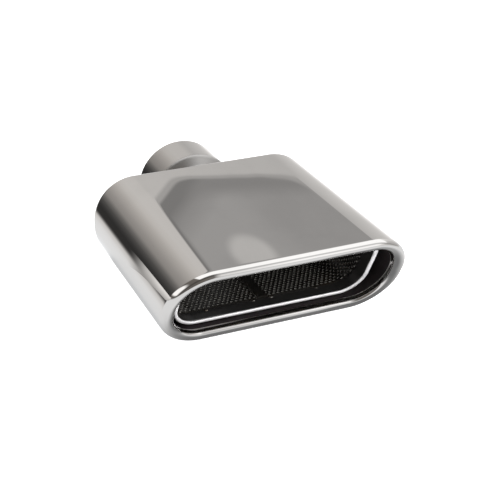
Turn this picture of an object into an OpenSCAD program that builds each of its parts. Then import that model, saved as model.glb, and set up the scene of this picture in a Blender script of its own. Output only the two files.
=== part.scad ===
// Flat-oval exhaust tip with a slash-cut rolled lip, a perforated core and a round slip-on inlet.
// Millimetres. The origin is the centre of the open end of the inlet neck, +Y points out of the
// neck, the mouth faces -Y and +Z is up. The tip lies on the flat underside of its body.

/* [Body] */
// Outside width of the flat-oval body
shell_w = 154; // [130:1:190]
// Height by which the body stands above the neck, and as far below it
body_rise = 0; // [0:0.5:6]
// Height of the short flat left between the two bends of each narrow side
side_flat = 3; // [1:0.5:12]
// Length from the mouth, at mid height, to the back of the rear cover
body_len = 141; // [120:1:200]
// Slope of the slash-cut mouth, with the top lip leading
cut_angle = 28.7; // [10:0.1:32]
// Sheet thickness of the body
shell_t = 1.2; // [0.8:0.1:1.5]

/* [Rolled lip] */
// Thickness of the lip, from the outside of the body to the inside of the roll
lip_roll = 7.75; // [6.5:0.05:8.5]
// Distance of the lip's foremost line from the outside of the body
lip_nose = 3.05; // [2.5:0.05:3.5]
// Distance behind the mouth at which the outside starts to curve inwards
lip_run = 7; // [5:0.5:12]
// Straight edge of the sheet turned back inside the mouth, behind the roll
lip_tail = 2.3; // [1:0.1:4]

/* [Rear cover] */
// Outside radius of the pressed edge
cap_r = 7; // [4:0.5:8]
// Straight skirt in front of the pressed edge
cap_skirt = 3; // [2:0.5:8]
// Sheet thickness of the rear cover
cap_t = 1.5; // [1:0.1:2]

/* [Inlet neck] */
// Inside diameter of the socket, which slips over the tailpipe
socket_bore = 57.6; // [54:0.2:70]
// Wall of the neck tube
neck_t = 1.2; // [1:0.1:2]
// Length from the rear cover to the open end
neck_len = 42; // [32:1:70]
// Height of rear cover left above the tube's root, and as much below it
root_rim = 5; // [4.5:0.5:8]
// Straight length of the root behind the rear cover
root_len = 4; // [3:0.5:6]
// Length over which the root opens out to the socket
bell_len = 9; // [6:0.5:14]
// Length of tube inside the rear cover
root_in = 2; // [1:0.5:4]

/* [Front collar] */
// Depth of the collar's bead behind the mouth
collar_depth = 16; // [12:0.5:24]
// Gap from the inside of the body to the middle of the bead at the narrow sides
collar_side_gap = 13; // [9:0.5:18]
// The same gap above and below
collar_top_gap = 5; // [4:0.25:7]
// Corner radius of the bead, on its middle line
collar_corner_r = 15.7; // [10:0.1:18]
// Thickness of the rolled bead
bead_d = 2.8; // [2:0.1:3.6]
// Length of the collar's sleeve behind the bead
collar_len = 16; // [12:0.5:24]
// Sheet thickness of both collars
collar_t = 1; // [0.8:0.1:1.2]

/* [Perforated core] */
// Sheet thickness of the core
core_t = 0.9; // [0.6:0.1:1.2]
// Plain band of collar left in front of the core
core_setback = 10.5; // [6:0.5:11]
// Diameter of the perforations
hole_d = 3.6; // [2.4:0.2:5]
// Distance between perforations across the core
hole_pitch_across = 8; // [7:0.5:16]
// Distance between rows of perforations along the core
hole_pitch_along = 8; // [7:0.5:16]
// Distance from the ends of the core to the first row of perforations
hole_margin = 9; // [7:0.5:16]
// Width of the lap seam along the middle of the core's floor
lap_w = 7; // [5:0.5:12]

/* [Rear collar] */
// Open space between the rear collar and the inside of the rear cover
plenum_len = 18; // [12:1:30]
// Length of the rear collar's sleeve
rear_sleeve_len = 8; // [5:0.5:14]

/* [Welds] */
// Leg of the weld bead around the root of the neck
neck_weld_leg = 2.5; // [1.5:0.1:2.8]
// Radius of a tack weld
tack_r = 1.6; // [1.2:0.1:2]
// Distance of the outer tack welds from the ends of the collar's flat
tack_end_gap = 10; // [3:1:20]
// Distance of the inner tack welds from the middle
tack_in = 6; // [4:0.5:16]

/* [Fits] */
// Clearance between pieces that slide into each other
slip_gap = 0.1; // [0.05:0.05:0.25]
// Clearance of the flanges and the packing inside the body
shell_gap = 0.2; // [0.15:0.05:0.3]

/* [Hidden] */
$fn = 96;
bend_steps = 11;
bead_steps = 12;
big = 600;
weld_gap = 0.02;

// Lengthwise stations, all on the centre line
cap_back = -neck_len;
joint_y = cap_back - cap_r - cap_skirt;
mouth_y = cap_back - body_len;
lean = tan(cut_angle);
rear_flange_y = cap_back - cap_t - plenum_len;

// Round neck, with a root that leaves a rim of the rear cover
socket_r = socket_bore / 2;
neck_r = socket_r + neck_t;

// Outline of the body, as high as the neck or higher
half_w = shell_w / 2;
half_h = neck_r + body_rise;
bend_r = half_h - side_flat / 2;
root_r = half_h - root_rim;

// Outline of the bead's middle line, and what follows it inwards
bead_w = half_w - shell_t - collar_side_gap;
bead_h = half_h - shell_t - collar_top_gap;
bead_proud = 0.15;
sleeve_in = bead_d / 2 - bead_proud;
sleeve_out = sleeve_in - collar_t;
core_out = sleeve_in + slip_gap;
core_in = core_out + core_t;
flange_depth = collar_depth + collar_len;
core_depth = collar_depth + core_setback;
tack_out = bead_w - collar_corner_r - tack_end_gap;

// A flat oval with straight sides and round bends
module flat_oval(hw, hh, r) {
    square([2 * (hw - r), 2 * hh], center = true);
    square([2 * hw, 2 * (hh - r)], center = true);
    for (sx = [-1, 1], sz = [-1, 1])
        translate([sx * (hw - r), sz * (hh - r)]) circle(r);
}

// The body's outline, brought in by a distance
module body_oval(inset) {
    flat_oval(half_w - inset, half_h - inset, bend_r - inset);
}

// The bead's outline, brought in by a distance
module bead_oval(inset) {
    flat_oval(bead_w - inset, bead_h - inset, collar_corner_r - inset);
}

// Stands a flat shape up and draws it out along Y
module along_y(from, to) {
    translate([0, to, 0]) rotate([90, 0, 0]) linear_extrude(height = to - from) children();
}

// Everything behind the sloping plane at a depth from the mouth
module behind_slope(depth) {
    translate([0, mouth_y + depth, 0]) rotate([cut_angle, 0, 0])
        translate([-big / 2, 0, -big / 2]) cube(big);
}

// Everything in front of the sloping plane at a depth from the mouth
module before_slope(depth) {
    translate([0, mouth_y + depth, 0]) rotate([cut_angle, 0, 0])
        translate([-big / 2, -big, -big / 2]) cube(big);
}

// A sloping slice of the child between two depths from the mouth
module slope_slice(from, to) {
    difference() {
        intersection() {
            children();
            behind_slope(from);
        }
        behind_slope(to);
    }
}

// Points round a flat oval, from the right-hand upper bend on
function oval_points(hw, hh, r, steps) = [
    for (k = [0:3], s = [0:steps])
        let (a = k * 90 + 90 * s / steps,
             cx = (k == 0 || k == 3 ? 1 : -1) * (hw - r),
             cz = (k < 2 ? 1 : -1) * (hh - r))
        [cx + r * cos(a), cz + r * sin(a)]
];

// A closed band of triangles through rings of points, whose last ring meets its first
module ring_band(rings) {
    m = len(rings);
    n = len(rings[0]);
    polyhedron(
        points = [for (ring = rings, p = ring) p],
        faces = [
            for (i = [0:m - 1], j = [0:n - 1], half = [0, 1])
                let (a = i * n + j, b = i * n + (j + 1) % n,
                     c = (i + 1) % m * n + (j + 1) % n, d = (i + 1) % m * n + j)
                half == 0 ? [a, b, c] : [a, c, d]
        ],
        convexity = 6);
}

// Section of the rolled lip as depth behind the mouth and inset from the outside
roll_r = lip_roll - lip_nose;
lip_return = roll_r + lip_tail;
lip_steps = 7;
function lip_outside(t) = [
    for (s = [0:lip_steps])
        let (a = 90 * s / lip_steps)
        [lip_run - (lip_run - t) * sin(a), t + (lip_nose - t) * (1 - cos(a))]
];
function lip_inside(t) = [
    for (s = [1:lip_steps])
        let (a = 90 * s / lip_steps)
        [roll_r - (roll_r - t) * cos(a), lip_nose + (roll_r - t) * sin(a)]
];
function reversed(list) = [for (i = [len(list) - 1:-1:0]) list[i]];

// One ring of the body's skin, on the sloping mouth
function sloped_ring(p) = [
    for (q = oval_points(half_w - p[1], half_h - p[1], bend_r - p[1], bend_steps))
        [q[0], mouth_y + p[0] - lean * q[1], q[1]]
];

// One ring of the body's skin, square to the axis
function square_ring(y, inset) = [
    for (q = oval_points(half_w - inset, half_h - inset, bend_r - inset, bend_steps))
        [q[0], y, q[1]]
];

// Rolled flat-oval body with the lip turned inwards
module outer_shell() {
    outside = concat(lip_outside(0), lip_inside(0), [[lip_return, lip_roll]]);
    inside = concat(lip_outside(shell_t), lip_inside(shell_t), [[lip_return, lip_roll - shell_t]]);
    color("gainsboro") ring_band(concat(
        [square_ring(joint_y, 0)],
        [for (p = outside) sloped_ring(p)],
        [for (p = reversed(inside)) sloped_ring(p)],
        [square_ring(joint_y, shell_t)]));
}

// Section of the rear cover's edge, from the middle of a bend outwards
module edge_section(r, edge_r, depth) {
    square([r - edge_r, depth]);
    square([r, depth - edge_r]);
    translate([r - edge_r, depth - edge_r]) intersection() {
        circle(edge_r);
        square(edge_r);
    }
}

// A flat-oval dish laid on its open side, made of four bends and the straights between them
module dish() {
    run_x = 2 * (half_w - bend_r);
    run_z = 2 * (half_h - bend_r);
    for (sx = [0, 1], sz = [0, 1])
        mirror([sx, 0, 0]) mirror([0, sz, 0])
            translate([run_x / 2, run_z / 2, 0]) rotate_extrude(angle = 90) children();
    for (turn = [0, 180]) {
        rotate([0, 0, turn]) translate([-run_x / 2, run_z / 2, 0])
            rotate([90, 0, 90]) linear_extrude(height = run_x) children();
        rotate([0, 0, turn]) translate([run_x / 2, run_z / 2, 0])
            rotate([90, 0, 0]) linear_extrude(height = run_z) children();
    }
}

// The space that the rear cover fills from outside, with its back at cap_back
module cap_body() {
    translate([0, joint_y, 0]) rotate([-90, 0, 0]) {
        dish() edge_section(bend_r, cap_r, cap_r + cap_skirt);
        translate([0, 0, (cap_r + cap_skirt) / 2])
            cube([2 * (half_w - bend_r), 2 * (half_h - bend_r), cap_r + cap_skirt], center = true);
    }
}

// Pressed rear cover, welded to the body and ground flush
module end_cap() {
    depth = cap_r + cap_skirt;
    color("gainsboro") difference() {
        translate([0, joint_y, 0]) rotate([-90, 0, 0]) {
            dish() difference() {
                edge_section(bend_r, cap_r, depth);
                edge_section(bend_r - cap_t, cap_r - cap_t, depth - cap_t);
            }
            translate([0, 0, depth - cap_t / 2])
                cube([2 * (half_w - bend_r), 2 * (half_h - bend_r), cap_t], center = true);
        }
        rotate([90, 0, 0]) cylinder(r = root_r + slip_gap, h = big);
    }
}

// Half of the bell's curve, as a share of the rise at a share of the run
function bell(s) = (1 - cos(180 * s)) / 2;

// Round neck: a narrow root in the rear cover opens out to the socket for the tailpipe
module inlet_neck() {
    steps = 12;
    start_y = cap_back + root_len;
    inner_end = cap_back - cap_t - root_in;
    outside = [
        for (s = [0:steps])
            [root_r + (neck_r - root_r) * bell(s / steps), start_y + bell_len * s / steps]
    ];
    color("silver") rotate([-90, 0, 0]) rotate_extrude() polygon(concat(
        [[root_r - neck_t, inner_end], [root_r, inner_end]],
        outside,
        [[neck_r, 0], [socket_r, 0]],
        reversed([for (p = outside) [p[0] - neck_t, p[1]]])));
}

// Weld around the root of the neck, following the rear cover's rounded edge
module neck_weld() {
    color("darkgray") difference() {
        rotate([-90, 0, 0]) rotate_extrude() {
            translate([root_r + weld_gap, cap_back]) intersection() {
                circle(neck_weld_leg);
                square(neck_weld_leg);
            }
            translate([root_r + weld_gap, cap_back - cap_r / 2]) square([neck_weld_leg, cap_r / 2]);
        }
        cap_body();
    }
}

// Rolled bead along the front of the collar
module collar_bead() {
    r = bead_d / 2;
    ring_band([
        for (s = [0:bead_steps - 1])
            let (a = -360 * s / bead_steps, inset = r * cos(a))
            [for (q = oval_points(bead_w - inset, bead_h - inset, collar_corner_r - inset, bend_steps))
                [q[0], mouth_y + collar_depth + r * sin(a) - lean * q[1], q[1]]]
    ]);
}

// Collar in the mouth: bead, sleeve round the core, and a flange out to the body
module front_collar() {
    color("silver") {
        collar_bead();
        slope_slice(collar_depth, flange_depth) along_y(mouth_y - half_h, cap_back) difference() {
            bead_oval(sleeve_out);
            bead_oval(sleeve_in);
        }
        slope_slice(flange_depth - collar_t, flange_depth)
            along_y(mouth_y - half_h, cap_back) difference() {
                body_oval(shell_t + shell_gap);
                bead_oval(sleeve_in);
            }
    }
}

// Places at a pitch either side of the middle, offset by half a pitch in every other row
function spread(half_len, pitch, offset) =
    let (n = floor(half_len / pitch)) [for (i = [-n:n - offset]) (i + offset / 2) * pitch];

// Perforated flat-oval core, slash-cut at the front like the mouth, with its lap seam in the floor
module perforated_core() {
    run_x = bead_w - collar_corner_r;
    back_y = rear_flange_y - hole_margin;
    color("dimgray") difference() {
        intersection() {
            along_y(mouth_y - half_h, rear_flange_y) {
                difference() {
                    bead_oval(core_out);
                    bead_oval(core_in);
                }
                translate([-lap_w / 2, core_in - core_t / 2 - bead_h]) square([lap_w, 1.5 * core_t]);
            }
            behind_slope(core_depth);
        }
        for (side = [-1, 1]) {
            front_y = mouth_y + core_depth - lean * side * bead_h + hole_margin;
            rows = floor((back_y - front_y) / hole_pitch_along);
            clear = side < 0 ? (lap_w + hole_d) / 2 : 0;
            for (i = [0:rows], x = spread(run_x, hole_pitch_across, i % 2))
                if (abs(x) >= clear)
                    translate([x, back_y - i * hole_pitch_along, side * bead_h])
                        cylinder(d = hole_d, h = half_h, center = true, $fn = 24);
        }
        middle_y = mouth_y + core_depth + hole_margin;
        side_rows = floor((back_y - middle_y) / hole_pitch_along);
        for (i = [0:side_rows], z = spread(bead_h - collar_corner_r, hole_pitch_across, (i + 1) % 2))
            translate([0, back_y - i * hole_pitch_along, z])
                rotate([0, 90, 0]) cylinder(d = hole_d, h = shell_w, center = true, $fn = 24);
    }
}

// Collar that holds the back of the core in the body
module rear_collar() {
    color("silver") {
        along_y(rear_flange_y - collar_t, rear_flange_y) difference() {
            body_oval(shell_t + shell_gap);
            bead_oval(sleeve_in);
        }
        along_y(rear_flange_y - rear_sleeve_len, rear_flange_y) difference() {
            bead_oval(sleeve_out);
            bead_oval(sleeve_in);
        }
    }
}

// Sound-absorbing wrap that fills the space between the core and the body
module packing_wrap() {
    color("peru") difference() {
        along_y(mouth_y - half_h, rear_flange_y - collar_t - slip_gap) difference() {
            body_oval(shell_t + shell_gap);
            bead_oval(core_out - slip_gap);
        }
        before_slope(flange_depth + slip_gap);
        along_y(rear_flange_y - rear_sleeve_len - slip_gap, cap_back)
            bead_oval(sleeve_out - slip_gap);
    }
}

// Tack welds along the core's front edge, above and below
module core_tacks() {
    floor_z = bead_h - sleeve_in - weld_gap;
    color("darkgray") for (side = [-1, 1], x = [-tack_out, -tack_in, tack_in, tack_out])
        difference() {
            intersection() {
                translate([x, mouth_y + core_depth - lean * side * floor_z, side * floor_z]) sphere(tack_r);
                cube([shell_w, big, 2 * floor_z], center = true);
            }
            behind_slope(core_depth - weld_gap);
        }
}

// Tack welds that hold the front collar's flange to the body
module collar_tacks() {
    wall_z = half_h - shell_t - shell_gap;
    color("darkgray") for (side = [-1, 1], x = [-tack_out, 0, tack_out])
        difference() {
            intersection() {
                translate([x, mouth_y + flange_depth - collar_t - lean * side * wall_z, side * wall_z])
                    sphere(tack_r);
                cube([shell_w, big, 2 * wall_z], center = true);
            }
            behind_slope(flange_depth - collar_t - weld_gap);
        }
}

outer_shell();
end_cap();
inlet_neck();
neck_weld();
front_collar();
perforated_core();
rear_collar();
packing_wrap();
core_tacks();
collar_tacks();
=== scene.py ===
"""Looks of a flat-oval exhaust tip: rolled slash-cut body, beaded collar, perforated core and neck.

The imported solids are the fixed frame. Sizes are in millimetres, and a mesh is turned into metres
when it is made. X runs across the mouth, Y out of the neck, and Z up.
"""

import logging
import math
from contextlib import contextmanager
from dataclasses import dataclass, field
from enum import Enum
from typing import Callable, Iterator

import bmesh
import bpy
import numpy as np
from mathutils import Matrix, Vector

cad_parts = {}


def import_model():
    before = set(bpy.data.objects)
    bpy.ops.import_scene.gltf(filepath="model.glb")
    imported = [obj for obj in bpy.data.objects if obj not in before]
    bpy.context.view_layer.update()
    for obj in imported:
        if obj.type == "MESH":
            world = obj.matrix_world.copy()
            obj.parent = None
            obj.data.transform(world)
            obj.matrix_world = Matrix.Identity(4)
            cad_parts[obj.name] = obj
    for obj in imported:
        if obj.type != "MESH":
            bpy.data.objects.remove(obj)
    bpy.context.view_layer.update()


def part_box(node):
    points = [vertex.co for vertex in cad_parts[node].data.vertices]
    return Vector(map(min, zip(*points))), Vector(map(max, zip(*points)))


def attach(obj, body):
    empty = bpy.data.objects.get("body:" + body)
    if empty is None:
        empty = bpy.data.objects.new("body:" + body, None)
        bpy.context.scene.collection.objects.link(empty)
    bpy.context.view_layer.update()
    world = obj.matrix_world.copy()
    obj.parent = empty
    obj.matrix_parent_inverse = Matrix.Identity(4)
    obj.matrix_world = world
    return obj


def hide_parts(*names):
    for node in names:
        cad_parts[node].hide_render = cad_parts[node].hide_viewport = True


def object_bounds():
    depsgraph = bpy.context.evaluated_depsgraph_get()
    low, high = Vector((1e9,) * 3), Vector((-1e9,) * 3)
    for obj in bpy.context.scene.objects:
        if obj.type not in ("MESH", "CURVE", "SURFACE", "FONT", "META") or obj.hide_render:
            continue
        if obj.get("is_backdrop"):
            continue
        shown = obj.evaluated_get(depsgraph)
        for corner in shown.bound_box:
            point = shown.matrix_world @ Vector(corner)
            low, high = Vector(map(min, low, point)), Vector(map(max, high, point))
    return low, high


MM = 0.001
LOG = logging.getLogger("exhaust_tip")
Ring = np.ndarray
Triple = tuple[float, float, float]
Colour = Triple


class Slot(Enum):
    """The record's material slots."""

    BODY = "polished_stainless"
    NECK = "neck_stainless"
    COLLAR = "collar_stainless"
    CORE = "perforated_steel"
    PACKING = "packing_fibre"
    WELD = "weld_metal"


def linear(level: float) -> float:
    """Turns a display level from 0 to 255 into linear light."""
    share = level / 255
    return share / 12.92 if share <= 0.04045 else ((share + 0.055) / 1.055) ** 2.4


# Outlines and meshes


@dataclass(frozen=True)
class FlatOval:
    """A flat-oval outline in the XZ plane, with straight sides and round bends.

    Attributes:
        half_w: Half the width.
        half_h: Half the height.
        bend_r: Radius of the bends.
    """

    half_w: float
    half_h: float
    bend_r: float

    def inset(self, by: float) -> "FlatOval":
        """Returns the outline brought in by a distance."""
        return FlatOval(self.half_w - by, self.half_h - by, self.bend_r - by)

    def points(self, steps: int = 40, cuts: int = 8, edge: float = 0.6) -> Ring:
        """Returns points round the outline, from the right-hand upper bend on.

        Args:
            steps: Segments in each bend.
            cuts: Points along each straight between its two edge points.
            edge: Distance of the edge points from the bends, which keeps the straights flat.

        Returns:
            One row of x and z for each point.
        """
        most_share = 0.2
        found = []
        for k in range(4):
            centre = self._centre(k)
            turns = np.radians(90 * k + 90 * np.arange(steps + 1) / steps)
            bend = centre + self.bend_r * np.column_stack([np.cos(turns), np.sin(turns)])
            after = math.radians(90 * (k + 1))
            following = self._centre(k + 1) + self.bend_r * np.array([math.cos(after), math.sin(after)])
            length = np.linalg.norm(following - bend[-1])
            share = min(edge / length, most_share)
            along = np.linspace(share, 1 - share, cuts + 2)[:, None]
            found += [bend, bend[-1] * (1 - along) + following * along]
        return np.vstack(found)

    def depth(self, x: np.ndarray, z: np.ndarray) -> np.ndarray:
        """Returns how far inside the outline points lie."""
        qx = np.abs(x) - (self.half_w - self.bend_r)
        qz = np.abs(z) - (self.half_h - self.bend_r)
        outer = np.hypot(np.maximum(qx, 0), np.maximum(qz, 0))
        return self.bend_r - outer - np.minimum(np.maximum(qx, qz), 0)

    def length(self) -> float:
        """Returns the length round the outline."""
        straights = 4 * (self.half_w + self.half_h - 2 * self.bend_r)
        return straights + 2 * math.pi * self.bend_r

    def walk(self, s: np.ndarray) -> tuple[np.ndarray, np.ndarray]:
        """Finds the places at distances round the outline from the middle of the underside.

        Args:
            s: Distances, growing towards +X on the underside.

        Returns:
            The x and z of each place.
        """
        run_x, run_z = self.half_w - self.bend_r, self.half_h - self.bend_r
        arc = math.pi / 2 * self.bend_r
        s = np.mod(s, self.length())
        legs = [run_x, arc, 2 * run_z, arc, 2 * run_x, arc, 2 * run_z, arc, run_x]
        starts = np.concatenate([[0], np.cumsum(legs)])
        x, z = np.zeros_like(s), np.zeros_like(s)
        straights = {
            0: (0, -self.half_h, 1, 0), 2: (self.half_w, -run_z, 0, 1), 4: (run_x, self.half_h, -1, 0),
            6: (-self.half_w, run_z, 0, -1), 8: (-run_x, -self.half_h, 1, 0),
        }
        bends = {
            1: (run_x, -run_z, -90), 3: (run_x, run_z, 0),
            5: (-run_x, run_z, 90), 7: (-run_x, -run_z, 180),
        }
        for leg in range(len(legs)):
            here = (s >= starts[leg]) & (s <= starts[leg + 1])
            t = s[here] - starts[leg]
            if leg in straights:
                px, pz, dx, dz = straights[leg]
                x[here], z[here] = px + dx * t, pz + dz * t
            else:
                cx, cz, turn = bends[leg]
                angle = math.radians(turn) + t / self.bend_r
                x[here] = cx + self.bend_r * np.cos(angle)
                z[here] = cz + self.bend_r * np.sin(angle)
        return x, z

    def _centre(self, k: int) -> np.ndarray:
        """Returns the middle of one bend."""
        k %= 4
        run_x, run_z = self.half_w - self.bend_r, self.half_h - self.bend_r
        return np.array([run_x if k in (0, 3) else -run_x, run_z if k < 2 else -run_z])


@dataclass(frozen=True)
class SlashCut:
    """The sloping plane of the mouth, and the planes behind it.

    Attributes:
        mouth_y: Where the plane crosses the axis.
        slope: How far it leans back for each millimetre down.
    """

    mouth_y: float
    slope: float

    def y_at(self, depth: float, z: np.ndarray) -> np.ndarray:
        """Returns where the plane at a depth lies, at heights."""
        return self.mouth_y + depth - self.slope * z

    def depth(self, places: np.ndarray) -> np.ndarray:
        """Returns how far behind the mouth's plane places lie."""
        return places[:, 1] - self.y_at(0, places[:, 2])

    def ring(self, outline: Ring, depth: float) -> Ring:
        """Returns an outline laid on the plane at a depth."""
        return np.column_stack([outline[:, 0], self.y_at(depth, outline[:, 1]), outline[:, 1]])


def level_corners(left: float, right: float, front: float, rear: float, z: float) -> Ring:
    """Returns the corners of a level rectangle."""
    return np.array([(left, front, z), (right, front, z), (right, rear, z), (left, rear, z)])


def square_ring(outline: Ring, y: float) -> Ring:
    """Returns an outline laid square to the axis."""
    return np.column_stack([outline[:, 0], np.full(len(outline), y), outline[:, 1]])


@dataclass
class Sheetwork:
    """A mesh being built from rings of points.

    Attributes:
        verts: The points so far.
        faces: The faces so far, as rows of indices.
    """

    verts: list[Ring] = field(default_factory=list)
    faces: list[tuple[int, ...]] = field(default_factory=list)

    def count(self) -> int:
        """Returns the number of points so far."""
        return sum(len(v) for v in self.verts)

    def band(self, rings: list[Ring], closed: bool = True) -> "Sheetwork":
        """Adds a skin through rings of as many points each.

        Args:
            rings: The rings in order.
            closed: True if the last ring meets the first.

        Returns:
            This sheetwork.
        """
        start, n, m = self.count(), len(rings[0]), len(rings)
        self.verts += rings
        for i in range(m if closed else m - 1):
            a, b = start + i * n, start + (i + 1) % m * n
            for j in range(n):
                k = (j + 1) % n
                self.faces.append((a + j, a + k, b + k, b + j))
        return self

    def fill(self, ring: Ring) -> "Sheetwork":
        """Adds one face across a ring."""
        start = self.count()
        self.verts.append(ring)
        self.faces.append(tuple(range(start, start + len(ring))))
        return self

    def piece(self, name: str, sharp: float = 35) -> bpy.types.Object:
        """Makes the object, merged, pointing outwards and smooth but for its sharp edges.

        Args:
            name: The piece's name.
            sharp: The angle in degrees from which an edge stays sharp.

        Returns:
            The new object.
        """
        mesh = bpy.data.meshes.new(name)
        mesh.from_pydata((np.vstack(self.verts) * MM).tolist(), [], self.faces)
        return settle(name, mesh, sharp)


@contextmanager
def edited(mesh: bpy.types.Mesh) -> Iterator[bmesh.types.BMesh]:
    """Opens a mesh for editing, and writes it back."""
    work = bmesh.new()
    work.from_mesh(mesh)
    yield work
    work.to_mesh(mesh)
    work.free()


def settle(name: str, mesh: bpy.types.Mesh, sharp: float = 35) -> bpy.types.Object:
    """Merges a mesh, turns its faces outwards, smooths it and links it as an object.

    Args:
        name: The piece's name.
        mesh: The mesh, in metres.
        sharp: The angle in degrees from which an edge stays sharp.

    Returns:
        The new object.
    """
    merge_distance = 1e-6
    with edited(mesh) as work:
        bmesh.ops.remove_doubles(work, verts=work.verts, dist=merge_distance)
        bmesh.ops.dissolve_degenerate(work, edges=work.edges, dist=merge_distance)
        bmesh.ops.recalc_face_normals(work, faces=work.faces)
    mesh.shade_smooth()
    mesh.set_sharp_from_angle(angle=math.radians(sharp))
    return linked(name, mesh)


def linked(name: str, data: bpy.types.ID) -> bpy.types.Object:
    """Makes an object of a mesh, a lamp or a camera, and puts it in the scene."""
    made = bpy.data.objects.new(name, data)
    bpy.context.scene.collection.objects.link(made)
    return made


def rows_of(items: bpy.types.bpy_prop_collection, name: str) -> np.ndarray:
    """Returns a vector of each point or face of a mesh, as rows."""
    found = np.empty(len(items) * 3)
    items.foreach_get(name, found)
    return found.reshape(-1, 3)


def places_of(mesh: bpy.types.Mesh) -> np.ndarray:
    """Returns the points of a mesh in millimetres."""
    return rows_of(mesh.vertices, "co") / MM


def mark(mesh: bpy.types.Mesh, name: str, values: np.ndarray, domain: str = "POINT") -> None:
    """Keeps a number at each point or face of a mesh, for its finish to read.

    Args:
        mesh: The mesh.
        name: The attribute's name.
        values: The numbers in order.
        domain: POINT or FACE.
    """
    layer = mesh.attributes.new(name, "FLOAT", domain)
    layer.data.foreach_set("value", values.astype(np.float32))


def baked(piece: bpy.types.Object) -> bpy.types.Mesh:
    """Takes a piece's evaluated mesh and clears its modifiers."""
    bpy.context.view_layer.update()
    graph = bpy.context.evaluated_depsgraph_get()
    mesh = bpy.data.meshes.new_from_object(
        piece.evaluated_get(graph), preserve_all_data_layers=True, depsgraph=graph)
    piece.modifiers.clear()
    return mesh


def carved(name: str, piece: bpy.types.Object, cutter: bpy.types.Object) -> bpy.types.Object:
    """Cuts one object out of another, and removes both.

    Args:
        name: Name of what is left.
        piece: The object to cut.
        cutter: What is taken away.

    Returns:
        The cut object.
    """
    cut = piece.modifiers.new("cut", "BOOLEAN")
    cut.operation, cut.solver, cut.object = "DIFFERENCE", "EXACT", cutter
    mesh = baked(piece)
    for spare in (piece, cutter):
        bpy.data.objects.remove(spare)
    return settle(name, mesh)


# Node trees


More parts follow.
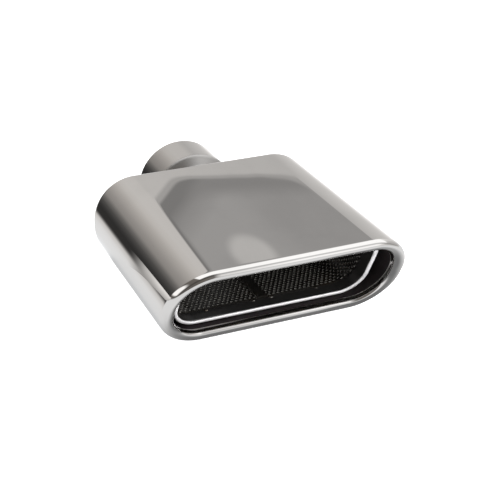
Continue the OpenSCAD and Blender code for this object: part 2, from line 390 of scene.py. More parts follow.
class Wires:
    """Adds nodes to a tree and joins them."""

    def __init__(self, tree: bpy.types.NodeTree) -> None:
        """Starts on a tree that may hold nodes already."""
        self.tree = tree

    def add(self, kind: str, **settings: object) -> bpy.types.Node:
        """Adds a node.

        Args:
            kind: The node's type.
            **settings: Values of the node's own properties.

        Returns:
            The node.
        """
        node = self.tree.nodes.new(kind)
        for key, value in settings.items():
            setattr(node, key, value)
        return node

    def feed(self, socket: bpy.types.NodeSocket, value: object) -> None:
        """Joins an output to an input socket, or sets the socket's value."""
        if isinstance(value, bpy.types.NodeSocket):
            self.tree.links.new(value, socket)
        else:
            socket.default_value = value

    def maths(self, operation: str, *values: object, clamp: bool = False) -> bpy.types.NodeSocket:
        """Adds a Math node and returns its output."""
        node = self.add("ShaderNodeMath", operation=operation, use_clamp=clamp)
        for socket, value in zip(node.inputs, values):
            self.feed(socket, value)
        return node.outputs[0]

    def split(self, vector: object) -> tuple[bpy.types.NodeSocket, ...]:
        """Returns the three parts of a vector."""
        node = self.add("ShaderNodeSeparateXYZ")
        self.feed(node.inputs[0], vector)
        return tuple(node.outputs)

    def join(self, x: object, y: object, z: object) -> bpy.types.NodeSocket:
        """Returns a vector of three parts."""
        node = self.add("ShaderNodeCombineXYZ")
        for socket, value in zip(node.inputs, (x, y, z)):
            self.feed(socket, value)
        return node.outputs[0]

    def stretch(self, vector: object, scale: object) -> bpy.types.NodeSocket:
        """Returns a vector with each part multiplied."""
        node = self.add("ShaderNodeVectorMath", operation="MULTIPLY")
        self.feed(node.inputs[0], vector)
        self.feed(node.inputs[1], scale)
        return node.outputs[0]

    def noise(self, vector: object, scale: object, detail: float = 2,
              rough: float = 0.5) -> bpy.types.NodeSocket:
        """Returns a noise value from 0 to 1."""
        node = self.add("ShaderNodeTexNoise")
        self.feed(node.inputs["Vector"], vector)
        self.feed(node.inputs["Scale"], scale)
        node.inputs["Detail"].default_value = detail
        node.inputs["Roughness"].default_value = rough
        return node.outputs[0]

    def between(self, value: object, low: object, high: object, to_low: object = 0.0,
                to_high: object = 1.0, soft: bool = True) -> bpy.types.NodeSocket:
        """Returns a value carried from one range to another, kept inside it."""
        node = self.add("ShaderNodeMapRange", interpolation_type="SMOOTHSTEP" if soft else "LINEAR")
        for socket, given in zip(node.inputs, (value, low, high, to_low, to_high)):
            self.feed(socket, given)
        return node.outputs[0]

    def product(self, *factors: object) -> bpy.types.NodeSocket:
        """Returns the product of two or more numbers."""
        result = factors[-1]
        for factor in factors[-2::-1]:
            result = self.maths("MULTIPLY", factor, result)
        return result

    def length(self, *parts: object) -> bpy.types.NodeSocket:
        """Returns the length of a vector in a plane, given by its two parts."""
        squares = [self.maths("MULTIPLY", part, part) for part in parts]
        return self.maths("SQRT", self.maths("ADD", *squares))

    def within(self, value: object, rise: tuple[float, float],
               fall: tuple[float, float]) -> bpy.types.NodeSocket:
        """Returns 1 between a rise and a fall along a value, and 0 beyond them."""
        return self.product(self.between(value, *rise), self.between(value, *fall))

    def mix(self, share: object, first: object, second: object) -> bpy.types.NodeSocket:
        """Returns a colour between two."""
        node = self.add("ShaderNodeMix", data_type="RGBA")
        self.feed(node.inputs["Factor"], share)
        self.feed(node.inputs[6], opaque(first))
        self.feed(node.inputs[7], opaque(second))
        return node.outputs[2]

    def marked(self, name: str) -> bpy.types.NodeSocket:
        """Returns a number that the mesh keeps at its points or faces."""
        return self.add("ShaderNodeAttribute", attribute_name=name).outputs["Fac"]

    def ramp(self, share: object, stops: tuple[tuple[float, Colour], ...]) -> bpy.types.NodeSocket:
        """Returns the colour at a share of a row of colours.

        Args:
            share: The place along the row, from 0 to 1.
            stops: Positions in order, each with its colour.

        Returns:
            The colour.
        """
        node = self.add("ShaderNodeValToRGB")
        elements = node.color_ramp.elements
        elements[0].position, elements[0].color = stops[0][0], opaque(stops[0][1])
        elements[-1].position, elements[-1].color = stops[-1][0], opaque(stops[-1][1])
        for position, colour in stops[1:-1]:
            elements.new(position).color = opaque(colour)
        self.feed(node.inputs[0], share)
        return node.outputs[0]


def opaque(colour: object) -> object:
    """Adds a full alpha to a colour given as three numbers."""
    return (*colour, 1.0) if isinstance(colour, tuple) and len(colour) == 3 else colour


def shaded(colour: Colour, share: float) -> Colour:
    """Returns a share of a colour."""
    return tuple(part * share for part in colour)


@dataclass(frozen=True)
class Effect:
    """A shader node group that several finishes place.

    Attributes:
        name: The group's name.
        inputs: Each input's name and value, with a vector as three numbers.
        outputs: The names of the outputs, which are numbers over the surface.
        wire: Builds the inside and returns the outputs in order.
    """

    name: str
    inputs: tuple[tuple[str, object], ...]
    outputs: tuple[str, ...]
    wire: Callable[[Wires, dict], tuple]

    def group(self) -> bpy.types.NodeTree:
        """Builds the group the first time, and returns it."""
        if self.name in bpy.data.node_groups:
            return bpy.data.node_groups[self.name]
        tree = bpy.data.node_groups.new(self.name, "ShaderNodeTree")
        for name, value in self.inputs:
            kind = "NodeSocketVector" if isinstance(value, tuple) else "NodeSocketFloat"
            socket = tree.interface.new_socket(name=name, in_out="INPUT", socket_type=kind)
            socket.default_value = value
        for name in self.outputs:
            tree.interface.new_socket(name=name, in_out="OUTPUT", socket_type="NodeSocketFloat")
        wires = Wires(tree)
        given = wires.add("NodeGroupInput")
        made = wires.add("NodeGroupOutput")
        results = self.wire(wires, {name: given.outputs[name] for name, _ in self.inputs})
        for name, result in zip(self.outputs, results):
            wires.feed(made.inputs[name], result)
        return tree

    def place(self, wires: Wires, **values: object) -> dict[str, bpy.types.NodeSocket]:
        """Adds the group to a material.

        Args:
            wires: The material's wires.
            **values: Inputs by name, with an underscore for a space.

        Returns:
            The outputs by name.
        """
        node = wires.add("ShaderNodeGroup", node_tree=self.group())
        for key, value in values.items():
            wires.feed(node.inputs[key.replace("_", " ")], value)
        return {name: node.outputs[name] for name in self.outputs}


def wire_polish(wires: Wires, given: dict) -> tuple:
    """Fine lines that the polishing mop leaves, long in one direction, and a few scratches."""
    fine_share, broad_share, broad_scale = 0.7, 0.3, 0.23
    scratch_from, scratch_to = 0.66, 0.72
    lines = wires.stretch(given["Place"], given["Lines"])
    fine, broad = wires.noise(lines, 1.0, 3, 0.6), wires.noise(lines, broad_scale, 1, 0.5)
    marks = wires.maths("ADD", wires.product(fine, fine_share), wires.product(broad, broad_share))
    return marks, wires.between(fine, scratch_from, scratch_to)


def wire_waves(wires: Wires, given: dict) -> tuple:
    """Slow waves that rolling and pressing leave in a sheet."""
    return (wires.noise(wires.stretch(given["Place"], given["Waves"]), 1.0, 1, 0.4),)


def wire_haze(wires: Wires, given: dict) -> tuple:
    """Dull patches, as from handling and wiping."""
    wiped_along, finer, haze_from, haze_to = (1.0, 0.25, 1.0), 3.0, 0.45, 0.75
    patches = wires.noise(given["Place"], given["Patches"], 4, 0.6)
    along = wires.stretch(given["Place"], wiped_along)
    wiped = wires.noise(along, wires.product(given["Patches"], finer), 2, 0.5)
    return (wires.between(wires.product(patches, wires.maths("ADD", wiped, 0.5)), haze_from, haze_to),)


def wire_specks(wires: Wires, given: dict) -> tuple:
    """Grain of a rolled or cast metal skin, as a height and a mask of dark specks."""
    speck_from, speck_to = 0.6, 0.72
    grain = wires.noise(given["Place"], given["Grain"], 3, 0.65)
    return grain, wires.between(grain, speck_from, speck_to)


PLACE = ("Place", (0.0, 0.0, 0.0))
POLISH = Effect("polish_lines", (PLACE, ("Lines", (1.0, 1.0, 1.0))), ("Marks", "Scratch"), wire_polish)
WAVES = Effect("sheet_waves", (PLACE, ("Waves", (1.0, 1.0, 1.0))), ("Height",), wire_waves)
HAZE = Effect("wiping_haze", (PLACE, ("Patches", 20.0)), ("Haze",), wire_haze)
SPECKS = Effect("metal_specks", (PLACE, ("Grain", 900.0)), ("Height", "Specks"), wire_specks)


# Finishes


@dataclass(frozen=True)
class Finish:
    """A metal or fibre finish.

    Attributes:
        name: The material's name, which no slot of the record has.
        colour: Its base colour.
        metallic: 1 for bare metal, 0 for fibre.
        roughness: Roughness where it is clean.
    """

    name: str
    colour: Colour
    metallic: float
    roughness: float

    def material(self) -> bpy.types.Material:
        """Builds the material the first time, and returns it."""
        found = bpy.data.materials.get(self.name)
        if found:
            return found
        made = bpy.data.materials.new(self.name)
        made.use_nodes = True
        made.diffuse_color = (*self.colour, 1.0)
        wires = Wires(made.node_tree)
        shader = made.node_tree.nodes["Principled BSDF"]
        shader.inputs["Metallic"].default_value = self.metallic
        place = wires.add("ShaderNodeTexCoord").outputs["Object"]
        self.wire(wires, shader, place)
        return made

    def wire(self, wires: Wires, shader: bpy.types.Node, place: bpy.types.NodeSocket) -> None:
        """Adds the finish's own nodes."""
        raise NotImplementedError

    @staticmethod
    def bump(wires: Wires, shader: bpy.types.Node, *layers: tuple[object, float]) -> None:
        """Feeds the shader's normal from heights.

        Args:
            wires: The material's wires.
            shader: The Principled node.
            *layers: Heights from 0 to 1, each with its real depth in millimetres.
        """
        normal = None
        for height, depth in layers:
            node = wires.add("ShaderNodeBump")
            node.inputs["Strength"].default_value = 1.0
            node.inputs["Distance"].default_value = depth * MM
            wires.feed(node.inputs["Height"], height)
            if normal is not None:
                wires.feed(node.inputs["Normal"], normal)
            normal = node.outputs[0]
        wires.feed(shader.inputs["Normal"], normal)


@dataclass(frozen=True)
class MirrorStainless(Finish):
    """Mirror-polished stainless sheet.

    Attributes:
        wave_depth: Depth of the slow waves in the sheet, in millimetres.
        wave_scale: Waves to the metre along each axis.
        line_scale: Polishing lines to the metre along each axis.
        line_depth: Depth of the polishing lines, in millimetres.
        line_roughness: Roughness that the polishing lines add.
        haze: Roughness that handling adds.
        haze_patches: Patches of handling to the metre.
        dull_share: Share of the colour that haze and scratches keep.
        mill_shade_colour: Colour of the unpolished inside, near black as painted shade behind the lip.
        mill_roughness: Roughness of the unpolished inside.
        mill_metallic: Metallic share of the unpolished, slightly sooted inside.
        edge_colour: Colour of the cut edge of the lip's return.
        edge_roughness: Roughness of that edge.
    """

    wave_depth: float = 0.006
    wave_scale: Triple = (60.0, 14.0, 60.0)
    line_scale: Triple = (2600.0, 120.0, 2600.0)
    line_depth: float = 0.00001
    line_roughness: float = 0.006
    haze: float = 0.012
    haze_patches: float = 22.0
    dull_share: float = 0.93
    mill_shade_colour: Colour = (0.064, 0.054, 0.056)
    mill_roughness: float = 0.35
    mill_metallic: float = 0.4
    edge_colour: Colour = (0.62, 0.6, 0.58)
    edge_roughness: float = 0.55

    def wire(self, wires: Wires, shader: bpy.types.Node, place: bpy.types.NodeSocket) -> None:
        """Polishing lines, slow waves and a little haze, with a dull inside painted dark as shade and a bare
        cut edge.
        """
        polish = POLISH.place(wires, Place=place, Lines=self.line_scale)
        haze = HAZE.place(wires, Place=place, Patches=self.haze_patches)["Haze"]
        waves = WAVES.place(wires, Place=place, Waves=self.wave_scale)["Height"]
        dull = shaded(self.colour, self.dull_share)
        mill_and_shade, edge = (wires.marked(name) for name in ("unpolished_and_shaded", "cut_edge"))
        colour = wires.mix(wires.product(haze, 0.5), self.colour, dull)
        colour = wires.mix(polish["Scratch"], colour, dull)
        # Painted shade: the unpolished inside takes a near-black colour for the shade behind the lip.
        colour = wires.mix(edge, wires.mix(mill_and_shade, colour, self.mill_shade_colour), self.edge_colour)
        wires.feed(shader.inputs["Base Color"], colour)
        metallic = wires.between(mill_and_shade, 0.0, 1.0, self.metallic, self.mill_metallic)
        wires.feed(shader.inputs["Metallic"], metallic)
        rough = wires.maths("MULTIPLY_ADD", haze, self.haze, self.roughness)
        rough = wires.maths("MULTIPLY_ADD", polish["Marks"], self.line_roughness, rough)
        for where, least in ((mill_and_shade, self.mill_roughness), (edge, self.edge_roughness)):
            rough = wires.maths("MAXIMUM", rough, wires.product(where, least))
        wires.feed(shader.inputs["Roughness"], rough)
        self.bump(wires, shader, (waves, self.wave_depth), (polish["Marks"], self.line_depth))


@dataclass(frozen=True)
class NeckStainless(MirrorStainless):
    """Polished tube whose drawn bell is rougher and darker, the darker colour a painted dark reflection,
    with heat colours beside the weld at its root.

    Attributes:
        weld_y: Where the weld meets the tube, along Y.
        tint_run: How far the heat colours reach.
        tint_scale: Uneven spots to the metre along the heat colours' line.
        tint_uneven: How far those spots carry the heat colours.
        heat_bands: Share of the reach and colour of each heat colour, up to the clean tube.
        bell_end: Where the drawn bell ends and the polished socket starts, along Y.
        bell_fade: How far past the bell's end the rough, darkened finish ends, and how far it is still full.
        bell_roughness: Roughness of the bell.
        bell_painted_shade: Share of the colour that the bell keeps, as a painted dark reflection.
    """

    weld_y: float = 0.0
    tint_run: float = 3.5
    tint_scale: float = 90.0
    tint_uneven: float = 2.5
    heat_bands: tuple[tuple[float, Colour], ...] = (
        (0.0, (0.42, 0.40, 0.44)), (0.22, (0.35, 0.38, 0.55)), (0.45, (0.52, 0.38, 0.42)),
        (0.7, (0.74, 0.62, 0.42)),
    )
    bell_end: float = 0.0
    bell_fade: tuple[float, float] = (0.9, 0.1)
    bell_roughness: float = 0.42
    bell_painted_shade: float = 0.78

    def wire(self, wires: Wires, shader: bpy.types.Node, place: bpy.types.NodeSocket) -> None:
        """The mirror polish, under bands of straw and blue near the weld."""
        lowest_uneven, clean_from = -1.2, 0.85
        super().wire(wires, shader, place)
        _, y, _ = wires.split(place)
        bell = wires.between(y, *((self.bell_end + fade) * MM for fade in self.bell_fade))
        polished = shader.inputs["Base Color"].links[0].from_socket
        # Painted reflection: the bell's colour is darkened to stand in for the dark crescent that it
        # mirrors.
        polished = wires.mix(bell, polished, shaded(self.colour, self.bell_painted_shade))
        rough = wires.maths("MAXIMUM", shader.inputs["Roughness"].links[0].from_socket,
                            wires.product(bell, self.bell_roughness))
        wires.feed(shader.inputs["Roughness"], rough)
        spots = wires.noise(place, self.tint_scale)
        uneven = wires.maths("MULTIPLY_ADD", spots, self.tint_uneven, lowest_uneven)
        away = wires.maths("ADD", wires.maths("MULTIPLY_ADD", y, 1 / MM, -self.weld_y), uneven)
        share = wires.maths("DIVIDE", away, self.tint_run, clamp=True)
        heat = wires.ramp(share, (*self.heat_bands, (1.0, self.colour)))
        clean = wires.between(share, clean_from, 1.0)
        wires.feed(shader.inputs["Base Color"], wires.mix(clean, heat, polished))


@dataclass(frozen=True)
class CollarStainless(Finish):
    """Rolled bead with a painted highlight on its crest, and the sheet behind it painted near black as
    shade.

    Attributes:
        sheet_shade_colour: Colour of the sheet and of the bead's back, near black as painted shade of the
            mouth's inside.
        sheet_roughness: Roughness of the sheet away from the bead.
        sheet_metallic: Metallic share of the sheet.
        sheet_grain: Specks of the sheet to the metre.
        grain_depth: Depth of the sheet's grain, in millimetres.
        speck_shade: Share of the sheet's colour that its specks keep.
        bead_metallic: Metallic share of the pale bead.
        line_scale: Polishing lines to the metre along each axis.
        line_roughness: Roughness that the polishing lines add.
    """

    sheet_shade_colour: Colour = (0.034, 0.033, 0.032)
    sheet_roughness: float = 0.3
    sheet_metallic: float = 0.6
    sheet_grain: float = 700.0
    grain_depth: float = 0.004
    speck_shade: float = 0.7
    bead_metallic: float = 0.45
    line_scale: Triple = (300.0, 2200.0, 300.0)
    line_roughness: float = 0.05

    def wire(self, wires: Wires, shader: bpy.types.Node, place: bpy.types.NodeSocket) -> None:
        """The mesh's own attribute marks the bead's crest, which takes a painted highlight; the bead's back
        and the sheet take the sheet's colour.
        """
        painted_highlight = wires.marked("painted_highlight")
        specks = SPECKS.place(wires, Place=place, Grain=self.sheet_grain)
        polish = POLISH.place(wires, Place=place, Lines=self.line_scale)
        # Painted shade: the sheet is near black for the shade inside the mouth; its specks are real grain.
        sheet = wires.mix(specks["Specks"], self.sheet_shade_colour, shaded(self.sheet_shade_colour, self.speck_shade))
        # Painted highlight: the pale colour lies only on the bead's crest, at a fixed turn round its
        # section.
        wires.feed(shader.inputs["Base Color"], wires.mix(painted_highlight, sheet, self.colour))
        metallic = wires.between(painted_highlight, 0.0, 1.0, self.sheet_metallic, self.bead_metallic)
        wires.feed(shader.inputs["Metallic"], metallic)
        rough = wires.between(painted_highlight, 0.0, 1.0, self.sheet_roughness, self.roughness)
        rough = wires.maths("MULTIPLY_ADD", polish["Marks"], self.line_roughness, rough)
        wires.feed(shader.inputs["Roughness"], rough)
        rolled = wires.product(specks["Height"], wires.maths("SUBTRACT", 1.0, painted_highlight))
        self.bump(wires, shader, (rolled, self.grain_depth))


@dataclass(frozen=True)
class PerforatedSteel(Finish):
    """Perforated sheet painted near black as shade of the mouth's inside, with lighter hole walls as painted
    glints on the bare punched edges.

    Attributes:
        wall_glint_colour: Colour of the holes' walls, lighter than the sheet as painted glints.
        speck_colour: Colour of the soot specks.
        brown_share: Share of each part of the colour that the brown patches keep.
        brown_patches: Brown patches to the metre.
        brown_roughness: Roughness that the brown patches add.
        grain: Specks of the rolled skin to the metre.
        grain_depth: Depth of that grain, in millimetres.
    """

    wall_glint_colour: Colour = (0.24, 0.232, 0.216)
    speck_colour: Colour = (0.02, 0.018, 0.016)
    brown_share: Triple = (0.9, 0.72, 0.55)
    brown_patches: float = 30.0
    brown_roughness: float = 0.2
    grain: float = 800.0
    grain_depth: float = 0.006

    def wire(self, wires: Wires, shader: bpy.types.Node, place: bpy.types.NodeSocket) -> None:
        """Rolled grain, brown patches and soot specks on a sheet painted near black as shade; the mesh's own
        attribute marks the walls, painted lighter as glints.
        """
        specks = SPECKS.place(wires, Place=place, Grain=self.grain)
        haze = HAZE.place(wires, Place=place, Patches=self.brown_patches)["Haze"]
        brown = tuple(part * share for part, share in zip(self.colour, self.brown_share))
        sheet = wires.mix(specks["Specks"], wires.mix(haze, self.colour, brown), self.speck_colour)
        # Painted glints: the hole walls are lighter than the sheet, which is painted near black as shade.
        wires.feed(shader.inputs["Base Color"], wires.mix(wires.marked("glint_walls"), sheet, self.wall_glint_colour))
        rough = wires.maths("MULTIPLY_ADD", haze, self.brown_roughness, self.roughness)
        wires.feed(shader.inputs["Roughness"], rough)
        self.bump(wires, shader, (specks["Height"], self.grain_depth))


@dataclass(frozen=True)
class FibreMat(Finish):
    """Loose mineral fibre, brown and matt.

    Attributes:
        strand_scales: Strands to the metre along each axis, for the two layers that cross.
        gap_shade: Share of the colour that the gaps between strands keep.
        gap_roughness: Roughness of the gaps.
        strand_depth: Depth of the strands, in millimetres.
    """

    strand_scales: tuple[Triple, Triple] = ((2500.0, 500.0, 2500.0), (600.0, 2500.0, 900.0))
    gap_shade: float = 0.35
    gap_roughness: float = 0.98
    strand_depth: float = 0.3

    def wire(self, wires: Wires, shader: bpy.types.Node, place: bpy.types.NodeSocket) -> None:
        """Crossed strands over a lumpy mat."""
        strand_from, strand_to, worn_from, worn_to = 0.4, 0.75, 0.3, 0.8
        layers = [wires.noise(wires.stretch(place, scale), 1.0, 3, 0.7) for scale in self.strand_scales]
        both = wires.maths("MAXIMUM", *layers)
        strands = wires.between(both, strand_from, strand_to)
        base = wires.mix(strands, shaded(self.colour, self.gap_shade), self.colour)
        wires.feed(shader.inputs["Base Color"], base)
        rough = wires.between(both, worn_from, worn_to, self.gap_roughness, self.roughness)
        wires.feed(shader.inputs["Roughness"], rough)
        self.bump(wires, shader, (both, self.strand_depth))


@dataclass(frozen=True)
class WeldMetal(Finish):
    """Weld bead with fine grain and a little heat colour.

    Attributes:
        straw_colour: Colour of the patches that the heat has tinted.
        straw_patches: Those patches to the metre.
        straw_roughness: Roughness that they add.
        speck_colour: Colour of the specks of scale.
        grain: Specks to the metre.
        grain_depth: Depth of the grain, in millimetres.
    """

    straw_colour: Colour = (0.46, 0.38, 0.27)
    straw_patches: float = 140.0
    straw_roughness: float = 0.12
    speck_colour: Colour = (0.2, 0.19, 0.2)
    grain: float = 1400.0
    grain_depth: float = 0.02

    def wire(self, wires: Wires, shader: bpy.types.Node, place: bpy.types.NodeSocket) -> None:
        """Grain, straw patches and dark specks."""
        straw_from, straw_to = 0.4, 0.65
        specks = SPECKS.place(wires, Place=place, Grain=self.grain)
        patches = wires.between(wires.noise(place, self.straw_patches, 2), straw_from, straw_to)
        base = wires.mix(patches, self.colour, self.straw_colour)
        wires.feed(shader.inputs["Base Color"], wires.mix(specks["Specks"], base, self.speck_colour))
        rough = wires.maths("MULTIPLY_ADD", patches, self.straw_roughness, self.roughness)
        wires.feed(shader.inputs["Roughness"], rough)
        self.bump(wires, shader, (specks["Height"], self.grain_depth))


# The tip's pieces


@dataclass(frozen=True)
class TipSizes:
    """Sizes that the pieces share, taken from the frame's boxes where those show them.

    Attributes:
        body: Outline of the body.
        bead: Outline of the bead's middle line.
        cut: The slash-cut mouth.
        cap_back: Back of the rear cover, along Y.
        joint_y: Where the rear cover meets the body.
        root_r: Radius of the neck's root.
        neck_r: Outside radius of the neck's open end.
        rear_flange_y: Back of the rear collar's flange.
        sheet: Thickness of the body.
        cap_t: Thickness of the rear cover.
        cap_r: Radius of the rear cover's rounded edge.
        collar_t: Thickness of both collars.
        core_t: Thickness of the perforated sheet.
        bead_r: Radius of the rolled bead.
        collar_depth: Depth of the bead behind the mouth.
        collar_len: Length of the front collar behind its bead.
        core_setback: How far behind the bead the core starts.
        rear_sleeve: Length of the rear collar's sleeve.
        slip_gap: Clearance between pieces that slip into each other.
        shell_gap: Clearance between the flanges and the body.
        bead_proud: How far the bead stands proud of the sleeve's inside.
    """

    body: FlatOval
    bead: FlatOval
    cut: SlashCut
    cap_back: float
    joint_y: float
    root_r: float
    neck_r: float
    rear_flange_y: float
    sheet: float = 1.2
    cap_t: float = 1.5
    cap_r: float = 7.0
    collar_t: float = 1.0
    core_t: float = 0.9
    bead_r: float = 1.4
    collar_depth: float = 16.0
    collar_len: float = 16.0
    core_setback: float = 10.5
    rear_sleeve: float = 8.0
    slip_gap: float = 0.1
    shell_gap: float = 0.2
    bead_proud: float = 0.15

    @classmethod
    def from_frame(cls) -> "TipSizes":
        """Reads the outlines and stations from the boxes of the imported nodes.

        Returns:
            The shared sizes.
        """
        side_flat, collar_side_gap, collar_top_gap, corner_r, root_rim = 3.0, 13.0, 5.0, 15.7, 5.0
        cut_angle, body_len = 28.7, 141.0
        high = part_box("outer_shell")[1] / MM
        cap_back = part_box("end_cap")[1].y / MM
        neck_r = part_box("inlet_neck")[1].x / MM
        body = FlatOval(high.x, high.z, high.z - side_flat / 2)
        slope = math.tan(math.radians(cut_angle))
        bead = FlatOval(body.half_w - cls.sheet - collar_side_gap, body.half_h - cls.sheet - collar_top_gap,
                        corner_r)
        return cls(body, bead, SlashCut(cap_back - body_len, slope), cap_back, high.y,
                   body.half_h - root_rim, neck_r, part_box("rear_collar")[1].y / MM)

    @property
    def sleeve_in(self) -> float:
        """How far the sleeve's inside lies within the bead's middle line."""
        return self.bead_r - self.bead_proud

    @property
    def sleeve_out(self) -> float:
        """How far the sleeve's outside lies within the bead's middle line."""
        return self.sleeve_in - self.collar_t

    @property
    def flange_depth(self) -> float:
        """Depth of the front collar's flange behind the mouth."""
        return self.collar_depth + self.collar_len

    @property
    def core_depth(self) -> float:
        """Depth of the core's front edge behind the mouth."""
        return self.collar_depth + self.core_setback

    @property
    def flange(self) -> FlatOval:
        """Outline of the collars' flanges, which clears the inside of the body."""
        return self.body.inset(self.sheet + self.shell_gap)

    def cover_y(self, x: np.ndarray, z: np.ndarray) -> np.ndarray:
        """Returns where the rear cover's outside lies, behind points of its outline."""
        within = np.clip(self.body.depth(x, z), 0, self.cap_r)
        return self.cap_back - self.cap_r + np.sqrt(self.cap_r**2 - (self.cap_r - within) ** 2)


@dataclass
class TipPiece:
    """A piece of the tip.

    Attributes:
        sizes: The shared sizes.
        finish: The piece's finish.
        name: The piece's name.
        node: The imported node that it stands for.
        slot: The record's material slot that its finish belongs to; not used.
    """

    sizes: TipSizes
    finish: Finish
    name: str = ""
    node: str = ""
    slot: Slot = Slot.BODY

    def mesh(self) -> bpy.types.Object:
        """Builds the piece's mesh as an object."""
        raise NotImplementedError

    def build(self) -> bpy.types.Object:
        """Makes, dresses and seats the piece.

        Returns:
            The finished object.
        """
        piece = self.mesh()
        piece.data.materials.clear()
        piece.data.materials.append(self.finish.material())
        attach(piece, "root")
        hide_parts(self.node)
        LOG.info("%s stands for %s with %d faces", self.name, self.node, len(piece.data.polygons))
        return piece


@dataclass
class RolledBody(TipPiece):
    """The flat-oval body, whose lip is rolled in and turned back inside the mouth.

    Attributes:
        lip_roll: How far the lip reaches in from the body's outside.
        lip_nose: How far in its foremost line lies.
        lip_run: Depth behind the mouth at which the lip starts.
        lip_tail: Length of the return behind the roll.
        edge_break: Chamfer of the return's cut edge.
        seam_x: Where the open butt seam of the return lies.
        seam_w: Width of that seam.
        arc_steps: Segments in each half of the roll.
    """

    name: str = "rolled_body"
    node: str = "outer_shell"
    lip_roll: float = 7.75
    lip_nose: float = 3.05
    lip_run: float = 7.0
    lip_tail: float = 2.3
    edge_break: float = 0.35
    seam_x: float = 46.0
    seam_w: float = 0.4
    arc_steps: int = 18

    @property
    def roll_r(self) -> float:
        """Radius of the inner half of the roll."""
        return self.lip_roll - self.lip_nose

    @property
    def return_end(self) -> float:
        """Depth behind the mouth at which the return ends."""
        return self.roll_r + self.lip_tail

    def section(self, inwards: float) -> list[tuple[float, float]]:
        """Follows the lip from the outside of the body to the end of its return.

        Args:
            inwards: Distance into the sheet: 0 on the outside, the sheet's thickness on the inside.

        Returns:
            Depth behind the mouth and inset from the outline, for each point.
        """
        before_arc, after_arc = 0.8, 0.4
        roll_r, nose, run = self.roll_r, self.lip_nose, self.lip_run
        turns = np.radians(np.linspace(0, 90, self.arc_steps + 1))
        outside = [(run - (run - inwards) * math.sin(a), inwards + (nose - inwards) * (1 - math.cos(a)))
                   for a in turns]
        inside = [(roll_r - (roll_r - inwards) * math.cos(a), nose + (roll_r - inwards) * math.sin(a))
                  for a in turns[1:]]
        inset, end = self.lip_roll - inwards, self.return_end
        if inwards == 0:
            tail = [(end - self.edge_break, inset), (end, inset - self.edge_break)]
        else:
            tail = [(end, inset)]
        return [(run + before_arc, inwards), *outside, *inside, (roll_r + after_arc, inset), *tail]

    def mesh(self) -> bpy.types.Object:
        """Closed band from the rear edge over the lip to its return, and back inside."""
        s, edge_margin = self.sizes, 0.5

        def laid(points: list[tuple[float, float]]) -> list[Ring]:
            """Lays section points on the sloping mouth."""
            return [s.cut.ring(s.body.inset(v).points(), u) for u, v in points]

        rear_out = [square_ring(s.body.points(), s.joint_y - before) for before in (0, edge_margin)]
        rear_in = [square_ring(s.body.inset(s.sheet).points(), s.joint_y)]
        rings = rear_out + laid(self.section(0)) + laid(self.section(s.sheet))[::-1] + rear_in
        body = self.notched(Sheetwork().band(rings).piece("seamless_body"))
        self.mark_surfaces(body)
        return body

    def notched(self, body: bpy.types.Object) -> bpy.types.Object:
        """Cuts the open butt seam through the lip's return, at the right of the mouth's floor."""
        s = self.sizes
        past, below, front_share = 1.0, 0.4, 0.55
        line = self.lip_roll - s.body.half_h
        low, top = line - s.sheet - below, line + past
        left, right = self.seam_x - self.seam_w / 2, self.seam_x + self.seam_w / 2
        corners = np.array([(left, low), (right, low), (right, top), (left, top)])
        rings = [s.cut.ring(corners, depth) for depth in (front_share * self.roll_r, self.return_end + past)]
        cutter = Sheetwork().band(rings, closed=False).fill(rings[0]).fill(rings[1]).piece("seam_cutter")
        return carved(self.name, body, cutter)

    def mark_surfaces(self, body: bpy.types.Object) -> None:
        """Marks the unpolished inside, which the finish paints dark as shade, and the cut edge of the
        return.
        """
        s = self.sizes
        near, edge_band = 0.01, 0.5
        places = places_of(body.data)
        inset, depth = s.body.depth(places[:, 0], places[:, 2]), s.cut.depth(places)
        break_line = self.lip_roll - self.edge_break - 5 * near
        unpolished_and_shaded = (inset > s.sheet - near) & (inset < break_line) & (depth > self.return_end - near)
        edge = (np.abs(depth - self.return_end + self.edge_break / 2) < self.edge_break / 2 + near)
        edge &= inset > self.lip_roll - edge_band
        mark(body.data, "unpolished_and_shaded", unpolished_and_shaded)
        mark(body.data, "cut_edge", edge)


@dataclass
class RearCover(TipPiece):
    """The pressed rear cover, ground flush with the body, with the neck's hole in it.

    Attributes:
        edge_margin: Width of the band beside each end of the rounded edge, which keeps the rest flat.
        cutter_reach: How far the hole's cutter reaches to each side.
        arc_steps: Segments in the rounded edge.
    """

    name: str = "rear_cover"
    node: str = "end_cap"
    edge_margin: float = 0.5
    cutter_reach: float = 20.0
    arc_steps: int = 20

    def rings(self, inwards: float) -> list[Ring]:
        """Follows the cover from its skirt to the flat of its back.

        Args:
            inwards: Distance into the sheet.

        Returns:
            The rings in order.
        """
        s = self.sizes
        edge_r = s.cap_r - inwards
        turns = np.radians(np.linspace(0, 90, self.arc_steps + 1))
        start = s.cap_back - s.cap_r
        line = [(s.joint_y, inwards), (start - self.edge_margin, inwards)]
        line += [(start + edge_r * math.sin(a), inwards + edge_r * (1 - math.cos(a))) for a in turns]
        line.append((s.cap_back - inwards, s.cap_r + self.edge_margin))
        return [square_ring(s.body.inset(v).points(), y) for y, v in line]

    def mesh(self) -> bpy.types.Object:
        """A closed dish with the hole for the neck's root cut through its back."""
        s = self.sizes
        outside, inside = self.rings(0), self.rings(s.cap_t)
        work = Sheetwork().band(outside, closed=False).fill(outside[-1])
        work.band(inside, closed=False).fill(inside[-1]).band([outside[0], inside[0]], closed=False)
        cover = work.piece(self.name)
        ends = (s.cap_back - self.cutter_reach, s.cap_back + self.cutter_reach)
        cutter = turned("root_cutter", [(s.root_r + s.slip_gap, y) for y in ends], closed=False)
        return carved(self.name, cover, cutter)


